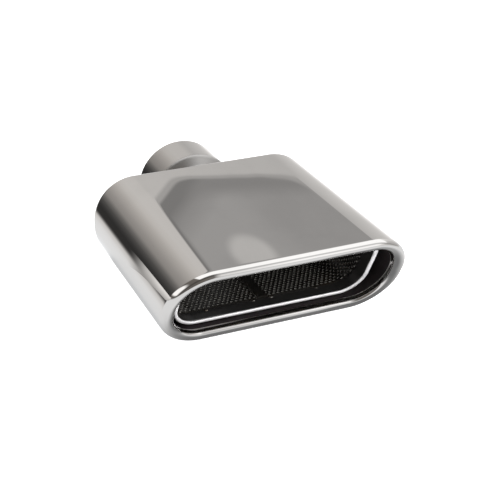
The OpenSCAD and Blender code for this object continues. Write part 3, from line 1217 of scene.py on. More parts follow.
def turned(name: str, profile: list[tuple[float, float]], closed: bool = True,
           steps: int = 144) -> bpy.types.Object:
    """Turns a profile about Y.

    Args:
        name: The piece's name.
        profile: Radius and y of each point.
        closed: True if the profile's last point meets its first, False to cap both ends.
        steps: Segments round the axis.

    Returns:
        The new object.
    """
    turns = np.radians(360 * np.arange(steps) / steps)
    rings = [np.column_stack([r * np.cos(turns), np.full(steps, y), r * np.sin(turns)]) for r, y in profile]
    work = Sheetwork().band(rings, closed)
    if not closed:
        work.fill(rings[0]).fill(rings[-1])
    return work.piece(name)


@dataclass
class InletNeck(TipPiece):
    """The round tube whose narrow root opens out to the tailpipe's socket.

    Attributes:
        wall: Thickness of the tube.
        root_len: Length of the root outside the rear cover.
        bell_len: Length of the drawn bell.
        root_in: How far the root reaches inside the rear cover.
        bell_margin: Length of the band beside each end of the bell, which keeps the rest straight.
        edge_break: Chamfer of the cut edges.
        bell_steps: Segments along the bell.
    """

    name: str = "inlet_tube"
    node: str = "inlet_neck"
    slot: Slot = Slot.NECK
    wall: float = 1.2
    root_len: float = 4.0
    bell_len: float = 9.0
    root_in: float = 2.0
    bell_margin: float = 0.5
    edge_break: float = 0.2
    bell_steps: int = 32

    def mesh(self) -> bpy.types.Object:
        """Turns the tube's section, with its cut edges broken."""
        s = self.sizes
        start, inner_end = s.cap_back + self.root_len, s.cap_back - s.cap_t - self.root_in
        share = np.linspace(0, 1, self.bell_steps + 1)
        rise = (s.neck_r - s.root_r) * (1 - np.cos(np.pi * share)) / 2
        bell = [(s.root_r + r, start + self.bell_len * t) for r, t in zip(rise, share)]
        end, edge = start + self.bell_len, self.edge_break
        outside = [(s.root_r, inner_end + edge), (s.root_r, start - self.bell_margin), *bell,
                   (s.neck_r, end + self.bell_margin), (s.neck_r, -edge)]
        inside = [(r - self.wall, y) for r, y in outside]
        mouth_edges = [(s.neck_r - edge, 0), (s.neck_r - self.wall + edge, 0)]
        root_edges = [(s.root_r - self.wall + edge, inner_end), (s.root_r - edge, inner_end)]
        return turned(self.name, outside + mouth_edges + inside[::-1] + root_edges)


@dataclass
class NeckWeld(TipPiece):
    """The rippled weld round the root, which follows the cover's rounded edge.

    Attributes:
        leg: Reach of the fillet along the cover and along the tube.
        gap: Clearance to both of them.
        around: Segments round the root.
        across: Segments across the fillet.
        ripples: Ripples round the root.
        ripple_depth: Depth of a ripple.
        sharp: Angle in degrees from which an edge stays sharp.
    """

    name: str = "neck_weld_bead"
    node: str = "neck_weld"
    slot: Slot = Slot.WELD
    leg: float = 2.5
    gap: float = 0.02
    around: int = 480
    across: int = 10
    ripples: int = 72
    ripple_depth: float = 0.16
    sharp: float = 60.0

    def mesh(self) -> bpy.types.Object:
        """A smooth fillet that Geometry Nodes then ripple."""
        s, base_rings = self.sizes, 3
        turns = np.radians(360 * np.arange(self.around) / self.around)

        def ring(r: float, rise: float) -> Ring:
            """Returns a ring of a radius, at a share of the way from the cover to the fillet's top."""
            x, z = r * np.cos(turns), r * np.sin(turns)
            seat = s.cover_y(x, z) + self.gap
            return np.column_stack([x, seat + (s.cap_back + self.leg - seat) * rise, z])

        root = s.root_r + self.gap
        face = [ring(root + self.leg * math.cos(t), math.sin(t))
                for t in np.radians(np.linspace(0, 90, self.across + 1))]
        base = [ring(root + self.leg * share, 0.0) for share in np.linspace(0, 1, base_rings + 1)[:-1]]
        smooth = Sheetwork().band(face + base).piece("smooth_weld")
        mesh = grow(smooth, RippleTree(self.finish.material()), Ripples=self.ripples,
                    Depth=self.ripple_depth * MM, Root=root * MM, Leg=self.leg * MM)
        return settle(self.name, mesh, self.sharp)


@dataclass
class FrontCollar(TipPiece):
    """The beaded collar in the mouth, with its sleeve and its flange out to the body.

    Attributes:
        bead_steps: Segments round the bead's section.
        highlight_turn: Middle of the bead's painted highlight, in degrees from straight inwards.
        highlight_half: How far the painted highlight reaches to each side, in degrees.
        highlight_fade: Width of the change beside it, in degrees.
        margin: Length of the band behind the bead, which keeps the sleeve straight.
    """

    name: str = "beaded_collar"
    node: str = "front_collar"
    slot: Slot = Slot.COLLAR
    bead_steps: int = 56
    highlight_turn: float = -58.0
    highlight_half: float = 62.0
    highlight_fade: float = 22.0
    margin: float = 0.8

    def mesh(self) -> bpy.types.Object:
        """Closed band round the bead, along the sleeve, out over the flange and back."""
        s = self.sizes
        start, stop = (math.degrees(math.acos(v / s.bead_r)) for v in (s.sleeve_out, s.sleeve_in))
        turns = np.radians(np.linspace(start, stop + 360, self.bead_steps + 1))
        bead = [(s.collar_depth + s.bead_r * math.sin(a), s.bead_r * math.cos(a)) for a in turns]
        back, front = s.flange_depth, s.flange_depth - s.collar_t
        behind, corner = s.collar_depth + s.bead_r + self.margin, 0.3
        inner = [(behind, s.sleeve_in), (back - corner, s.sleeve_in), (back, s.sleeve_in)]
        rings = [s.cut.ring(s.bead.inset(v).points(), u) for u, v in bead + inner]
        rings += [s.cut.ring(s.flange.points(), u) for u in (back, front)]
        rings += [s.cut.ring(s.bead.inset(s.sleeve_out).points(), u) for u in (front, behind)]
        piece = Sheetwork().band(rings).piece(self.name)
        self.paint_highlight(piece)
        return piece

    def paint_highlight(self, piece: bpy.types.Object) -> None:
        """Marks the bead's crest for its painted highlight, and its back and the sheet as not."""
        s, skin = self.sizes, 0.1
        places = places_of(piece.data)
        behind, inset = s.cut.depth(places) - s.collar_depth, s.bead.depth(places[:, 0], places[:, 2])
        turn = np.degrees(np.arctan2(behind, inset)) - self.highlight_turn
        away = np.abs((turn + 180) % 360 - 180)
        on_bead = np.hypot(behind, inset) < s.bead_r + skin
        # Painted highlight: a band at a fixed turn round the bead's section, whatever the light.
        mark(piece.data, "painted_highlight", np.clip((self.highlight_half - away) / self.highlight_fade + 0.5, 0, 1) * on_bead)


@dataclass
class PerforatedCore(TipPiece):
    """The perforated liner, slash-cut at the front, with a lap seam along its floor.

    Attributes:
        pitch: Distance between holes.
        hole_d: Diameter of a hole.
        lap_w: Width of the plain lap seam.
        sharp: Angle in degrees from which an edge stays sharp.
    """

    name: str = "perforated_liner"
    node: str = "perforated_core"
    slot: Slot = Slot.CORE
    pitch: float = 3.0
    hole_d: float = 1.9
    lap_w: float = 7.0
    sharp: float = 50.0

    @property
    def middle(self) -> FlatOval:
        """Outline through the middle of the sheet."""
        s = self.sizes
        return s.bead.inset(s.sleeve_in + s.slip_gap + s.core_t / 2)

    @property
    def row_step(self) -> float:
        """Distance between rows of holes."""
        return self.pitch * math.sqrt(3) / 2

    @property
    def uncut_front(self) -> float:
        """Where the sheet starts before it is cut on the slope."""
        return self.sizes.cut.y_at(self.sizes.core_depth, self.middle.half_h) - 2 * self.row_step

    def mesh(self) -> bpy.types.Object:
        """Wraps a flat perforated sheet round the collar's sleeve and cuts it on the slope."""
        s = self.sizes
        mesh = self.flat_sheet()
        self.wrap(mesh)
        self.add_seam(mesh)
        self.trim(mesh, s.cut, s.core_depth)
        sheet = settle("liner_sheet", mesh)
        wall = sheet.modifiers.new("sheet_thickness", "SOLIDIFY")
        wall.thickness, wall.offset, wall.use_even_offset = s.core_t * MM, 0.0, True
        solid = baked(sheet)
        bpy.data.objects.remove(sheet)
        liner = settle(self.name, solid, self.sharp)
        self.mark_glint_walls(liner.data)
        return liner

    def flat_sheet(self) -> bpy.types.Mesh:
        """Punches a flat sheet of whole rows and columns, long enough to go round beside the seam."""
        around = self.middle.length() - self.lap_w
        columns = round(around / self.pitch)
        rows = math.ceil((self.sizes.rear_flange_y - self.uncut_front) / self.row_step)
        flat = linked("flat_sheet", bpy.data.meshes.new("flat_sheet"))
        return grow(flat, PerforatedSheetTree(self.finish.material()), Columns=columns, Rows=rows,
                    Pitch=around / columns * MM, Row_Step=self.row_step * MM, Hole=self.hole_d / 2 * MM)

    def wrap(self, mesh: bpy.types.Mesh) -> None:
        """Wraps the flat sheet round its outline, from one side of the lap seam to the other."""
        rear, seam, middle = self.sizes.rear_flange_y, self.lap_w / 2, self.middle
        flat = places_of(mesh)
        x, z = middle.walk(np.clip(flat[:, 0] + seam, seam, middle.length() - seam))
        y = np.minimum(rear - self.row_step / 2 - flat[:, 1], rear)
        mesh.vertices.foreach_set("co", (np.column_stack([x, y, z]) * MM).ravel())

    def mark_glint_walls(self, mesh: bpy.types.Mesh) -> None:
        """Marks the walls of the holes, for their painted glint colour: the faces that cross the sheet
        behind its front edge.
        """
        tiny, crossing, front_edge = 1e-6, 0.5, 0.05
        centre, normal = rows_of(mesh.polygons, "center") / MM, rows_of(mesh.polygons, "normal")
        middle, cut = self.middle, self.sizes.cut
        run = np.array([middle.half_w - middle.bend_r, middle.half_h - middle.bend_r])
        away = centre[:, [0, 2]] - np.clip(centre[:, [0, 2]], -run, run)
        away /= np.maximum(np.linalg.norm(away, axis=1, keepdims=True), tiny)
        facing = np.abs((normal[:, [0, 2]] * away).sum(axis=1))
        behind = cut.depth(centre) - self.sizes.core_depth > front_edge
        mark(mesh, "glint_walls", (facing < crossing) & behind, "FACE")

    def add_seam(self, mesh: bpy.types.Mesh) -> None:
        """Adds the two plain strips of the lap seam along the floor."""
        s, seam, front = self.sizes, self.lap_w / 2, self.uncut_front
        corners = [(-seam, front), (seam, front), (seam, s.rear_flange_y), (-seam, s.rear_flange_y)]
        with edited(mesh) as work:
            for lift in (0.0, s.core_t):
                z = lift - self.middle.half_h
                work.faces.new([work.verts.new(Vector((x, y, z)) * MM) for x, y in corners])

    @staticmethod
    def trim(mesh: bpy.types.Mesh, cut: SlashCut, depth: float) -> None:
        """Cuts away what lies in front of the sloping plane at a depth."""
        tiny = 1e-7
        on_plane, across = Vector((0, cut.y_at(depth, 0) * MM, 0)), Vector((0, 1, cut.slope)).normalized()
        with edited(mesh) as work:
            bmesh.ops.bisect_plane(work, geom=[*work.verts, *work.edges, *work.faces], dist=tiny,
                                   clear_inner=True, plane_co=on_plane, plane_no=across)


@dataclass
class RearCollar(TipPiece):
    """The flanged collar that carries the back of the core."""

    name: str = "liner_rear_collar"
    node: str = "rear_collar"
    slot: Slot = Slot.COLLAR

    def mesh(self) -> bpy.types.Object:
        """Closed band along the sleeve and out over the flange."""
        s = self.sizes
        back, front, start = s.rear_flange_y, s.rear_flange_y - s.collar_t, s.rear_flange_y - s.rear_sleeve
        inner, outer = s.bead.inset(s.sleeve_in).points(), s.bead.inset(s.sleeve_out).points()
        flange = s.flange.points()
        rings = [square_ring(inner, start), square_ring(inner, back), square_ring(flange, back),
                 square_ring(flange, front), square_ring(outer, front), square_ring(outer, start)]
        return Sheetwork().band(rings).piece(self.name)


@dataclass
class PackingWrap(TipPiece):
    """The fibre mat between the core and the body, a little lumpy.

    Attributes:
        lump: Depth of the dents in the mat.
        lengthwise: Rings along each skin.
        inner_waves: Dents round the inner skin.
        outer_waves: Dents round the outer skin.
    """

    name: str = "packing_mat"
    node: str = "packing_wrap"
    slot: Slot = Slot.PACKING
    lump: float = 0.5
    lengthwise: int = 60
    inner_waves: int = 7
    outer_waves: int = 5

    def mesh(self) -> bpy.types.Object:
        """Closed band whose skin sinks in and out along the mat."""
        s = self.sizes
        outer, inner = s.flange.points(), s.bead.inset(s.sleeve_in).points()
        front, gap = s.flange_depth + s.slip_gap, 2 * s.slip_gap
        inner_rear = square_ring(inner, s.rear_flange_y - s.rear_sleeve - gap)
        outer_rear = square_ring(outer, s.rear_flange_y - s.collar_t - gap)
        rings = self.skin(s.cut.ring(inner, front), inner_rear, self.inner_waves, 1)
        rings += self.skin(outer_rear, s.cut.ring(outer, front), self.outer_waves, -1)
        return Sheetwork().band(rings).piece(self.name)

    def skin(self, start: Ring, end: Ring, waves: int, sign: int) -> list[Ring]:
        """Runs a dented skin from one ring to another.

        Args:
            start: The first ring.
            end: The last ring.
            waves: Dents round the skin.
            sign: 1 where a dent goes outwards, -1 where it goes inwards.

        Returns:
            The rings in order.
        """
        along_waves, cross_waves, cross_along = 23, 11, 31
        turn = np.linspace(0, 2 * np.pi, len(start), endpoint=False)
        rings = []
        for share in np.linspace(0, 1, self.lengthwise):
            ring = start * (1 - share) + end * share
            dent = np.sin(along_waves * share + waves * turn)
            dent = dent * np.sin(cross_waves * turn - cross_along * share)
            settled = self.lump * dent**2 * math.sin(math.pi * share)
            away = np.column_stack([ring[:, 0], np.zeros(len(ring)), ring[:, 2]])
            away /= np.maximum(np.linalg.norm(away, axis=1, keepdims=True), 1)
            rings.append(ring + away * (sign * settled)[:, None])
        return rings


@dataclass
class TackWelds(TipPiece):
    """Small tack welds, as settled drops of weld metal.

    Attributes:
        spots: Middle of each drop.
        drop: Half length, half width and height of a drop.
        uneven: Depth of the lumps in a drop's skin.
        sharp: Angle in degrees from which an edge stays sharp.
    """

    slot: Slot = Slot.WELD
    spots: tuple[Triple, ...] = ()
    drop: Triple = (1.5, 1.2, 0.8)
    uneven: float = 0.25
    sharp: float = 60.0

    def mesh(self) -> bpy.types.Object:
        """Drops that Geometry Nodes place on the spots and make uneven."""
        points = bpy.data.meshes.new("tack_points")
        points.from_pydata([Vector(spot) * MM for spot in self.spots], [], [])
        mesh = grow(linked("tack_points", points), TackTree(self.finish.material()),
                    Drop=Vector(self.drop) * MM, Uneven=self.uneven * MM)
        return settle(self.name, mesh, self.sharp)


# Geometry Nodes


class GrowthTree:
    """A Geometry Nodes tree that ends in real geometry with its material.

    Attributes:
        name: The tree's name.
        inputs: Each input's name, type of socket and value.
        tree: The tree itself.
    """

    name = "growth"
    inputs: tuple[tuple[str, str, object], ...] = ()

    def __init__(self, material: bpy.types.Material) -> None:
        """Builds the tree.

        Args:
            material: What the grown geometry is made of.
        """
        self.tree = bpy.data.node_groups.new(self.name, "GeometryNodeTree")
        face = self.tree.interface
        face.new_socket(name="Geometry", in_out="INPUT", socket_type="NodeSocketGeometry")
        for name, kind, value in self.inputs:
            face.new_socket(name=name, in_out="INPUT", socket_type=kind).default_value = value
        face.new_socket(name="Geometry", in_out="OUTPUT", socket_type="NodeSocketGeometry")
        wires = Wires(self.tree)
        given = wires.add("NodeGroupInput").outputs
        real = wires.add("GeometryNodeRealizeInstances")
        wires.feed(real.inputs[0], self.wire(wires, given))
        painted = wires.add("GeometryNodeSetMaterial")
        wires.feed(painted.inputs["Geometry"], real.outputs[0])
        painted.inputs["Material"].default_value = material
        wires.feed(wires.add("NodeGroupOutput").inputs[0], painted.outputs[0])

    def wire(self, wires: Wires, given: bpy.types.NodeOutputs) -> bpy.types.NodeSocket:
        """Adds the tree's own nodes and returns its geometry."""
        raise NotImplementedError

    @staticmethod
    def lifted(wires: Wires, skin: object, depth: object) -> bpy.types.NodeSocket:
        """Returns a skin moved outwards by a depth at each of its points."""
        moved = wires.add("GeometryNodeSetPosition")
        wires.feed(moved.inputs["Geometry"], skin)
        normal = wires.add("GeometryNodeInputNormal").outputs[0]
        wires.feed(moved.inputs["Offset"], wires.stretch(normal, wires.join(depth, depth, depth)))
        return moved.outputs[0]


def grow(carrier: bpy.types.Object, growth: GrowthTree, **values: object) -> bpy.types.Mesh:
    """Runs a tree on a carrier, and removes the carrier.

    Args:
        carrier: The object that the tree starts from.
        growth: The tree.
        **values: Inputs by name, with an underscore for a space.

    Returns:
        The grown geometry as a plain mesh.
    """
    modifier = carrier.modifiers.new(growth.name, "NODES")
    modifier.node_group = growth.tree
    sockets = {s.name: s.identifier for s in growth.tree.interface.items_tree if s.in_out == "INPUT"}
    for key, value in values.items():
        modifier[sockets[key.replace("_", " ")]] = value
    mesh = baked(carrier)
    bpy.data.objects.remove(carrier)
    return mesh


class PerforatedSheetTree(GrowthTree):
    """A flat sheet of hexagonal cells in staggered rows, each with a round hole."""

    name = "perforated_sheet"
    inputs = (("Columns", "NodeSocketInt", 90), ("Rows", "NodeSocketInt", 30),
              ("Pitch", "NodeSocketFloat", 0.0033), ("Row Step", "NodeSocketFloat", 0.0029),
              ("Hole", "NodeSocketFloat", 0.001))

    def wire(self, wires: Wires, given: bpy.types.NodeOutputs) -> bpy.types.NodeSocket:
        """Places one cell at each point of a staggered grid that starts at the origin."""
        columns, rows, pitch, row_step, hole = (given[name] for name, _, _ in self.inputs)
        grid = wires.add("GeometryNodeMeshGrid")
        long_x = wires.product(wires.maths("SUBTRACT", columns, 1.0), pitch)
        long_y = wires.product(wires.maths("SUBTRACT", rows, 1.0), row_step)
        given_sizes = {"Size X": long_x, "Size Y": long_y, "Vertices X": columns, "Vertices Y": rows}
        for name, value in given_sizes.items():
            wires.feed(grid.inputs[name], value)
        x, y, _ = wires.split(wires.add("GeometryNodeInputPosition").outputs[0])
        from_y = wires.maths("MULTIPLY_ADD", long_y, 0.5, y)
        row = wires.maths("ROUND", wires.maths("DIVIDE", from_y, row_step))
        odd = wires.maths("FLOORED_MODULO", row, 2.0)
        from_x = wires.maths("MULTIPLY_ADD", long_x, 0.5, x)
        shift = wires.product(wires.maths("MULTIPLY_ADD", odd, 0.5, 0.25), pitch)
        placed = wires.add("GeometryNodeSetPosition")
        wires.feed(placed.inputs["Geometry"], grid.outputs["Mesh"])
        wires.feed(placed.inputs["Position"], wires.join(wires.maths("ADD", from_x, shift), from_y, 0.0))
        cells = wires.add("GeometryNodeInstanceOnPoints")
        wires.feed(cells.inputs["Points"], placed.outputs[0])
        wires.feed(cells.inputs["Instance"], self.cell(wires, pitch, hole))
        return cells.outputs[0]

    @staticmethod
    def cell(wires: Wires, pitch: bpy.types.NodeSocket, hole: bpy.types.NodeSocket) -> bpy.types.NodeSocket:
        """Returns one cell: a hexagon with its corners up and down, less the hole."""
        corners, hole_sides, corner_up = 6, 8, math.radians(30)
        rim = wires.add("GeometryNodeCurvePrimitiveCircle")
        rim.inputs["Resolution"].default_value = corners
        wires.feed(rim.inputs["Radius"], wires.maths("DIVIDE", pitch, math.sqrt(3)))
        turned_rim = wires.add("GeometryNodeTransform")
        wires.feed(turned_rim.inputs["Geometry"], rim.outputs["Curve"])
        turned_rim.inputs["Rotation"].default_value = (0.0, 0.0, corner_up)
        bore = wires.add("GeometryNodeCurvePrimitiveCircle")
        bore.inputs["Resolution"].default_value = hole_sides
        wires.feed(bore.inputs["Radius"], hole)
        both = wires.add("GeometryNodeJoinGeometry")
        wires.feed(both.inputs[0], turned_rim.outputs[0])
        wires.feed(both.inputs[0], bore.outputs["Curve"])
        filled = wires.add("GeometryNodeFillCurve")
        wires.feed(filled.inputs[0], both.outputs[0])
        return filled.outputs[0]


class RippleTree(GrowthTree):
    """Ripples along a weld that runs round the Y axis."""

    name = "weld_ripples"
    inputs = (("Ripples", "NodeSocketInt", 70), ("Depth", "NodeSocketFloat", 0.0002),
              ("Root", "NodeSocketFloat", 0.025), ("Leg", "NodeSocketFloat", 0.0025))

    def wire(self, wires: Wires, given: bpy.types.NodeOutputs) -> bpy.types.NodeSocket:
        """Moves the skin inwards between the crests, which bow across the bead."""
        crest, bend, top_edge, lower_edge = 0.4, 7.0, (0.02, 0.25), (0.98, 0.8)
        x, _, z = wires.split(wires.add("GeometryNodeInputPosition").outputs[0])
        from_root = wires.maths("SUBTRACT", wires.length(x, z), given["Root"])
        out = wires.maths("DIVIDE", from_root, given["Leg"])
        off_crest = wires.maths("ABSOLUTE", wires.maths("SUBTRACT", out, crest))
        bow = wires.product(wires.maths("POWER", off_crest, 2.0), bend)
        turn = wires.product(wires.maths("ARCTAN2", z, x), given["Ripples"])
        wave = wires.maths("SINE", wires.maths("ADD", turn, bow))
        hollow = wires.maths("MULTIPLY_ADD", wave, 0.5, -0.5)
        clear = wires.within(out, top_edge, lower_edge)
        return self.lifted(wires, given["Geometry"], wires.product(given["Depth"], hollow, clear))


class TackTree(GrowthTree):
    """Uneven drops of weld metal on points.

    Attributes:
        seed: Seed of the drops' turns.
    """

    name = "tack_drops"
    inputs = (("Drop", "NodeSocketVector", (0.0015, 0.0012, 0.0008)),
              ("Uneven", "NodeSocketFloat", 0.0002))
    seed = 11

    def wire(self, wires: Wires, given: bpy.types.NodeOutputs) -> bpy.types.NodeSocket:
        """Puts a turned, squashed ball on each point and roughens its skin."""
        most_turn, lump_scale, fineness = 0.6, 900.0, 4
        ball = wires.add("GeometryNodeMeshIcoSphere")
        ball.inputs["Radius"].default_value = 1.0
        ball.inputs["Subdivisions"].default_value = fineness
        turn = wires.add("FunctionNodeRandomValue", data_type="FLOAT_VECTOR")
        for socket, angle in zip(turn.inputs, (-most_turn, most_turn)):
            socket.default_value = (0.0, 0.0, angle)
        turn.inputs["Seed"].default_value = self.seed
        drops = wires.add("GeometryNodeInstanceOnPoints")
        parts = {"Points": given["Geometry"], "Instance": ball.outputs["Mesh"], "Rotation": turn.outputs[0],
                 "Scale": given["Drop"]}
        for name, value in parts.items():
            wires.feed(drops.inputs[name], value)
        real = wires.add("GeometryNodeRealizeInstances")
        wires.feed(real.inputs[0], drops.outputs[0])
        lumps = wires.noise(wires.add("GeometryNodeInputPosition").outputs[0], lump_scale, 2)
        depth = wires.product(wires.maths("SUBTRACT", lumps, 0.5), given["Uneven"])
        return self.lifted(wires, real.outputs[0], depth)


# The studio


@dataclass(frozen=True)
class Strip:
    """A strip of the surroundings that runs beside the tip, as its polished sides mirror it.

    Attributes:
        clock: Where it lies round the tip's axis, in degrees from straight up towards +X.
        level: How bright its mirror image is, from 0 to 255 on the display.
        warmth: Tint: above 0 warm, below 0 cool.
    """

    clock: float
    level: float
    warmth: float = 0.0

    def colour(self, mirror: float) -> Colour:
        """Returns the strip's own light, for a metal that mirrors a share of it."""
        light = linear(self.level) / mirror
        return light * (1 + self.warmth), light, light * (1 - self.warmth)


@dataclass(frozen=True)
class Softbox:
    """A soft light that the polish doesn't mirror.

    Attributes:
        name: The light's name.
        place: Where it hangs.
        size: Length of its sides in metres.
        power: Its power in watts.
    """

    name: str
    place: Triple
    size: float
    power: float

    def hang(self, aim_at: Vector) -> None:
        """Hangs the light so that it faces a place."""
        lamp = bpy.data.lights.new(self.name, "AREA")
        lamp.shape, lamp.size, lamp.energy = "SQUARE", self.size, self.power
        light = linked(self.name, lamp)
        light.location = Vector(self.place) * MM
        light.rotation_euler = (aim_at * MM - light.location).to_track_quat("-Z", "Y").to_euler()
        light.visible_glossy = False


@dataclass(frozen=True)
class Studio:
    """Pale floor, soft light, the surroundings that the polish mirrors, and the camera.

    The surroundings are a world that only glossy rays see. A direction in it is given by its parts x
    across the mouth, y along the neck and z upwards, and a place on the ceiling by x / z and y / z.

    Attributes:
        strips: What lies round the tip's axis, by clock angle in degrees.
        ahead: What lies before the mouth from left to right, by its x from -1 to 1.
        softboxes: Two lights overhead, and one before the mouth.
        mirror: Share of the light that the polish mirrors.
        panel_levels: Levels of the grey panel's edge, middle and front.
        patch_level: Level of the pale patch on the panel.
        softbox_level: Level of the softbox that the lip mirrors.
        window_level: Level of the window at the left of the mouth.
        floor_level: Level of the floor, as the mouth's parts mirror it.
        shade_level: Level of the contact shadow.
        floor_drop: How far the floor lies under the tip.
    """

    strips: tuple[Strip, ...] = (
        Strip(-180, 222, -0.02), Strip(-134, 212, 0.0), Strip(-120, 192, 0.02), Strip(-112, 84, 0.03),
        Strip(-108, 46, 0.03), Strip(-93, 45, 0.02), Strip(-86, 54, 0.02), Strip(-76, 72, 0.03),
        Strip(-66, 100, 0.04), Strip(-57, 130, 0.05), Strip(-45, 142, 0.05), Strip(-28, 162, 0.05),
        Strip(-12, 181, 0.04), Strip(2, 186, 0.03), Strip(28, 184, 0.03), Strip(46, 172, 0.02),
        Strip(62, 180, 0.02), Strip(88, 190, 0.02), Strip(100, 204, 0.02), Strip(110, 236, 0.01),
        Strip(122, 244, 0.0), Strip(165, 243, -0.01), Strip(180, 228, -0.02),
    )
    ahead: tuple[Strip, ...] = (
        Strip(-1.0, 85, 0.07), Strip(-0.7, 90, 0.1), Strip(-0.3, 98, 0.09), Strip(0.06, 104, 0.05),
        Strip(0.31, 205, 0.01), Strip(0.4, 248, 0.0), Strip(0.6, 235, 0.01), Strip(0.8, 182, 0.02),
        Strip(1.0, 158, 0.02),
    )
    softboxes: tuple[Softbox, ...] = (
        Softbox("key_softbox", (-700.0, -500.0, 1300.0), 1.2, 14.0),
        Softbox("fill_softbox", (900.0, -200.0, 1100.0), 1.4, 7.0),
        Softbox("mouth_softbox", (200.0, -800.0, 330.0), 0.5, 8.6),
    )
    mirror: float = 0.80
    panel_levels: Triple = (117.0, 135.0, 148.0)
    patch_level: float = 174.0
    softbox_level: float = 253.0
    window_level: float = 250.0
    floor_level: float = 214.0
    shade_level: float = 45.0
    floor_drop: float = 0.05

    def build(self) -> None:
        """Makes the floor, the lights, the surroundings and the camera."""
        low, high = (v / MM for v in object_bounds())
        self.floor(low.z - self.floor_drop)
        self.contact_shade(low.z - self.floor_drop / 2)
        self.side_card()
        for softbox in self.softboxes:
            softbox.hang((low + high) / 2)
        self.surroundings()
        self.camera()
        view = bpy.context.scene.view_settings
        view.view_transform, view.look = "Standard", "None"

    def mirrored(self, level: float, warmth: float = 0.0) -> Colour:
        """Returns the light whose mirror image has a level."""
        return Strip(0, level, warmth).colour(self.mirror)

    def floor(self, z: float) -> None:
        """Lays a wide pale floor under the tip, which the polish doesn't mirror twice."""
        reach, cloud_scale, darker, lighter, glow = 6000.0, 3.0, (0.5,) * 3, (0.52,) * 3, 0.88
        floor = Sheetwork().fill(level_corners(-reach, reach, -reach, reach, z)).piece("studio_floor")
        material = bpy.data.materials.new("pale_floor")
        material.use_nodes = True
        wires = Wires(material.node_tree)
        shader = material.node_tree.nodes["Principled BSDF"]
        shade = wires.noise(wires.add("ShaderNodeTexCoord").outputs["Object"], cloud_scale)
        wires.feed(shader.inputs["Base Color"], wires.mix(shade, darker, lighter))
        shader.inputs["Roughness"].default_value = 0.9
        shader.inputs["Specular IOR Level"].default_value = 0.0
        shader.inputs["Emission Color"].default_value = (1.0, 1.0, 1.0, 1.0)
        shader.inputs["Emission Strength"].default_value = glow
        floor.data.materials.append(material)
        floor.visible_glossy = False
        floor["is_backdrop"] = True

    def mirrored_card(self, name: str, corners: Ring,
                      shade: Callable[[Wires, tuple], tuple[object, object]]) -> None:
        """Hangs a card that only the polish mirrors.

        Args:
            name: The card's name.
            corners: Its corners.
            shade: Takes the card's wires and its x, y and z, and returns its colour and its opacity.
        """
        card = Sheetwork().fill(corners).piece(name)
        material = bpy.data.materials.new(name)
        material.use_nodes = True
        material.node_tree.nodes.clear()
        wires = Wires(material.node_tree)
        place = wires.stretch(wires.add("ShaderNodeTexCoord").outputs["Object"], (1 / MM, 1 / MM, 1 / MM))
        colour, opacity = shade(wires, wires.split(place))
        mixed, clear = wires.add("ShaderNodeMixShader"), wires.add("ShaderNodeBsdfTransparent")
        lit, out = wires.add("ShaderNodeEmission"), wires.add("ShaderNodeOutputMaterial")
        wires.feed(lit.inputs["Color"], opaque(colour))
        for socket, value in zip(mixed.inputs, (opacity, clear.outputs[0], lit.outputs[0])):
            wires.feed(socket, value)
        wires.feed(out.inputs["Surface"], mixed.outputs[0])
        card.data.materials.append(material)
        card.visible_camera = card.visible_diffuse = card.visible_shadow = False
        card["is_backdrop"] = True

    def contact_shade(self, z: float) -> None:
        """Lays the tip's soft contact shadow at a height, for its own mirror images."""
        left, right, mouth, rear, reach, most = -52.0, 66.0, -171.0, -52.0, 70.0, 0.8
        fade_x, fade_y, further, turn_from, turn_to, tint = 26.0, 12.0, 14.0, 30.0, 60.0, -0.04
        corners = level_corners(left - reach, right + reach, mouth - reach, rear + reach, z)

        def shade(wires: Wires, place: tuple) -> tuple[object, object]:
            """Darkest under the body, fading out round it, and reaching further before its right bend."""
            x, y, _ = place
            front = wires.between(x, turn_from, turn_to, mouth, mouth - further)

            def fallen(sides: tuple[object, object], fade: float) -> bpy.types.NodeSocket:
                """Returns how far a place lies past the further of two sides, squared."""
                past = wires.maths("MAXIMUM", wires.maths("MAXIMUM", *sides), 0.0)
                return wires.maths("POWER", wires.maths("DIVIDE", past, fade), 2.0)

            over_x = (wires.maths("SUBTRACT", x, right), wires.maths("SUBTRACT", left, x))
            over_y = (wires.maths("SUBTRACT", y, rear), wires.maths("SUBTRACT", front, y))
            falling = wires.maths("ADD", fallen(over_x, fade_x), fallen(over_y, fade_y))
            opacity = wires.product(wires.maths("EXPONENT", wires.product(falling, -1.0)), most)
            return self.mirrored(self.shade_level, tint), opacity

        self.mirrored_card("contact_shade", corners, shade)

    def side_card(self) -> None:
        """Hangs a small pale card low at the left, which the bend mirrors beside the mouth."""
        y, near, far, low, high = -98.0, -84.0, -190.0, -7.0, 11.5
        dim_level, lit_level, tint = 112, 214, 0.02
        brighter_by, solid_by, lit_from, least = near - 36, near - 22, 8.0, 0.4

        def shade(wires: Wires, place: tuple) -> tuple[object, object]:
            """Brighter outwards and upwards."""
            out = wires.between(place[0], near, brighter_by, soft=False)
            up = wires.between(place[2], low, lit_from, least, 1.0, soft=False)
            solid = wires.between(place[0], near, solid_by)
            dim, lit = self.mirrored(dim_level, tint), self.mirrored(lit_level, tint)
            return wires.mix(wires.product(out, up), dim, lit), solid

        corners = np.array([(near, y, low), (far, y, low), (far, y, high), (near, y, high)])
        self.mirrored_card("side_card", corners, shade)

